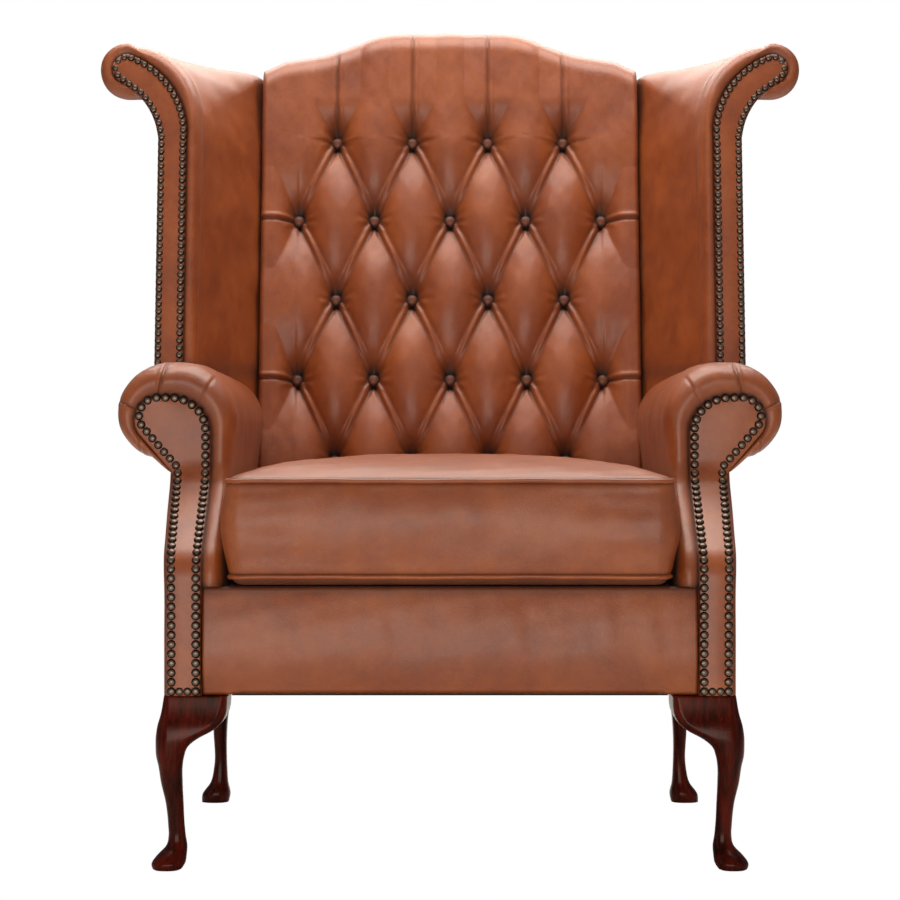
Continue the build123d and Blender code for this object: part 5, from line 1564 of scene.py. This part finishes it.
def liningCloth():
    # a thin closed sheet under the rails, cut away at the legs, sagging by the product of two cubic arches
    half, front, rear, _, top = nodeBox("dust_cover")
    frontCut, rearCut = lining["frontCut"], rear - lining["rearCut"]
    depth = np.concatenate([
        np.linspace(front, frontCut - lining["frontGap"], 16), np.linspace(frontCut, rearCut, 90),
        np.linspace(rearCut + lining["rearGap"], rear, 12),
    ])
    besideFront, besideRear = body["half"] - frontCut, body["rearHalf"] - lining["rearInset"]
    wide = np.where(depth < frontCut, besideFront, np.where(depth > rearCut, besideRear, half))
    x = wide[:, None] * np.linspace(-1, 1, 61)
    across, along = np.abs(x / half) ** 3, np.abs(2 * (depth - front) / (rear - front) - 1) ** 3
    z = top - lining["set"] - lining["sag"] * (1 - across) * (1 - along)[:, None]
    sheet = toRow(x, depth[:, None], np.stack([z, z - lining["thick"]]))
    area = float(np.sum((wide[1:] + wide[:-1]) * np.diff(depth))) * mm * mm
    return np.concatenate([sheet[0], sheet[1][:, ::-1]], 1), (2 * half * mm, (rear - front) * mm), area


rings, flatSize, flatArea = liningCloth()
sheet = dress(ringPiece("lining_cloth", rings), "black_cloth", ["dust_cover"])
print("stage: legs made")


studio = {
    "cameraDepth": -3000, "cameraHeight": 472, "lens": 106.8, "sensor": 36,
    "sky": 0.14, "skyTone": (0.93, 0.95, 1.0, 1.0), "floorHalf": 6, "floorTone": tone(232, 230, 226),
    "lamp": (1.0, 0.93, 0.85),
    # name, place, size, power, what it looks at
    "lights": [
        ("overhead", (0.0, 0.1, 2.3), (1.9, 1.0), 49, (0.0, 0.1, 0.6)),
        ("rear top", (0.0, 1.9, 2.4), (2.4, 1.2), 46, (0.0, 0.0, 0.6)),
        ("low front", (-0.4, -3.6, 0.4), (2.4, 0.9), 52, (0.0, 0.0, 0.3)),
        ("right fill", (2.6, -1.6, 1.3), (1.0, 2.0), 4, (0.0, 0.0, 0.5)),
        ("left fill", (-2.6, -1.2, 1.3), (1.0, 2.0), 4, (0.0, 0.0, 0.5)),
    ],
}


def whiteForCamera(tree, other, white, output):
    # the white shader where the camera looks straight at it, and the other one in light and reflections
    rays = put(tree, "ShaderNodeLightPath").outputs["Is Camera Ray"]
    mixed = put(tree, "ShaderNodeMixShader", None, i0=rays, i1=other.outputs[0], i2=white.outputs[0])
    put(tree, output, None, Surface=mixed.outputs[0])


def emptyTree(owner):
    # the node tree of a world or material, cleared
    owner.use_nodes = True
    owner.node_tree.nodes.clear()
    return owner.node_tree


world = bpy.data.worlds.new("studio")
bpy.context.scene.world = world
tree = emptyTree(world)
sky = put(tree, "ShaderNodeBackground", None, Color=studio["skyTone"], Strength=studio["sky"])
plain = put(tree, "ShaderNodeBackground", None, Color=(1, 1, 1, 1), Strength=1.0)
whiteForCamera(tree, sky, plain, "ShaderNodeOutputWorld")

reach = studio["floorHalf"]
floorMesh = bpy.data.meshes.new("floor")
corners = [(-reach, -reach, 0), (reach, -reach, 0), (reach, reach, 0), (-reach, reach, 0)]
floorMesh.from_pydata(corners, [], [(0, 1, 2, 3)])
floor = bpy.data.objects.new("floor", floorMesh)
bpy.context.scene.collection.objects.link(floor)
floorLook = bpy.data.materials.new("pale floor")
tree = emptyTree(floorLook)
soft = put(tree, "ShaderNodeBsdfDiffuse", None, Color=studio["floorTone"])
plain = put(tree, "ShaderNodeEmission", None, Color=(1, 1, 1, 1), Strength=1.0)
whiteForCamera(tree, soft, plain, "ShaderNodeOutputMaterial")
floorMesh.materials.append(floorLook)

for name, place, size, power, aim in studio["lights"]:
    lamp = bpy.data.lights.new(name, "AREA")
    lamp.shape = "RECTANGLE"
    lamp.size, lamp.size_y = size
    lamp.energy = power
    lamp.color = studio["lamp"]
    holder = bpy.data.objects.new(name, lamp)
    holder.location = place
    holder.visible_camera = False
    holder.rotation_euler = (Vector(aim) - Vector(place)).to_track_quat("-Z", "Y").to_euler()
    bpy.context.scene.collection.objects.link(holder)

cameraData = bpy.data.cameras.new("camera")
cameraData.lens = studio["lens"]
cameraData.sensor_width = studio["sensor"]
camera = bpy.data.objects.new("camera", cameraData)
camera.location = (0, studio["cameraDepth"] * mm + facePlaneY, studio["cameraHeight"] * mm)
camera.rotation_euler = (math.pi / 2, 0, 0)
bpy.context.scene.collection.objects.link(camera)
bpy.context.scene.camera = camera
bpy.context.scene.view_settings.view_transform = "Standard"

print("stage: all made")
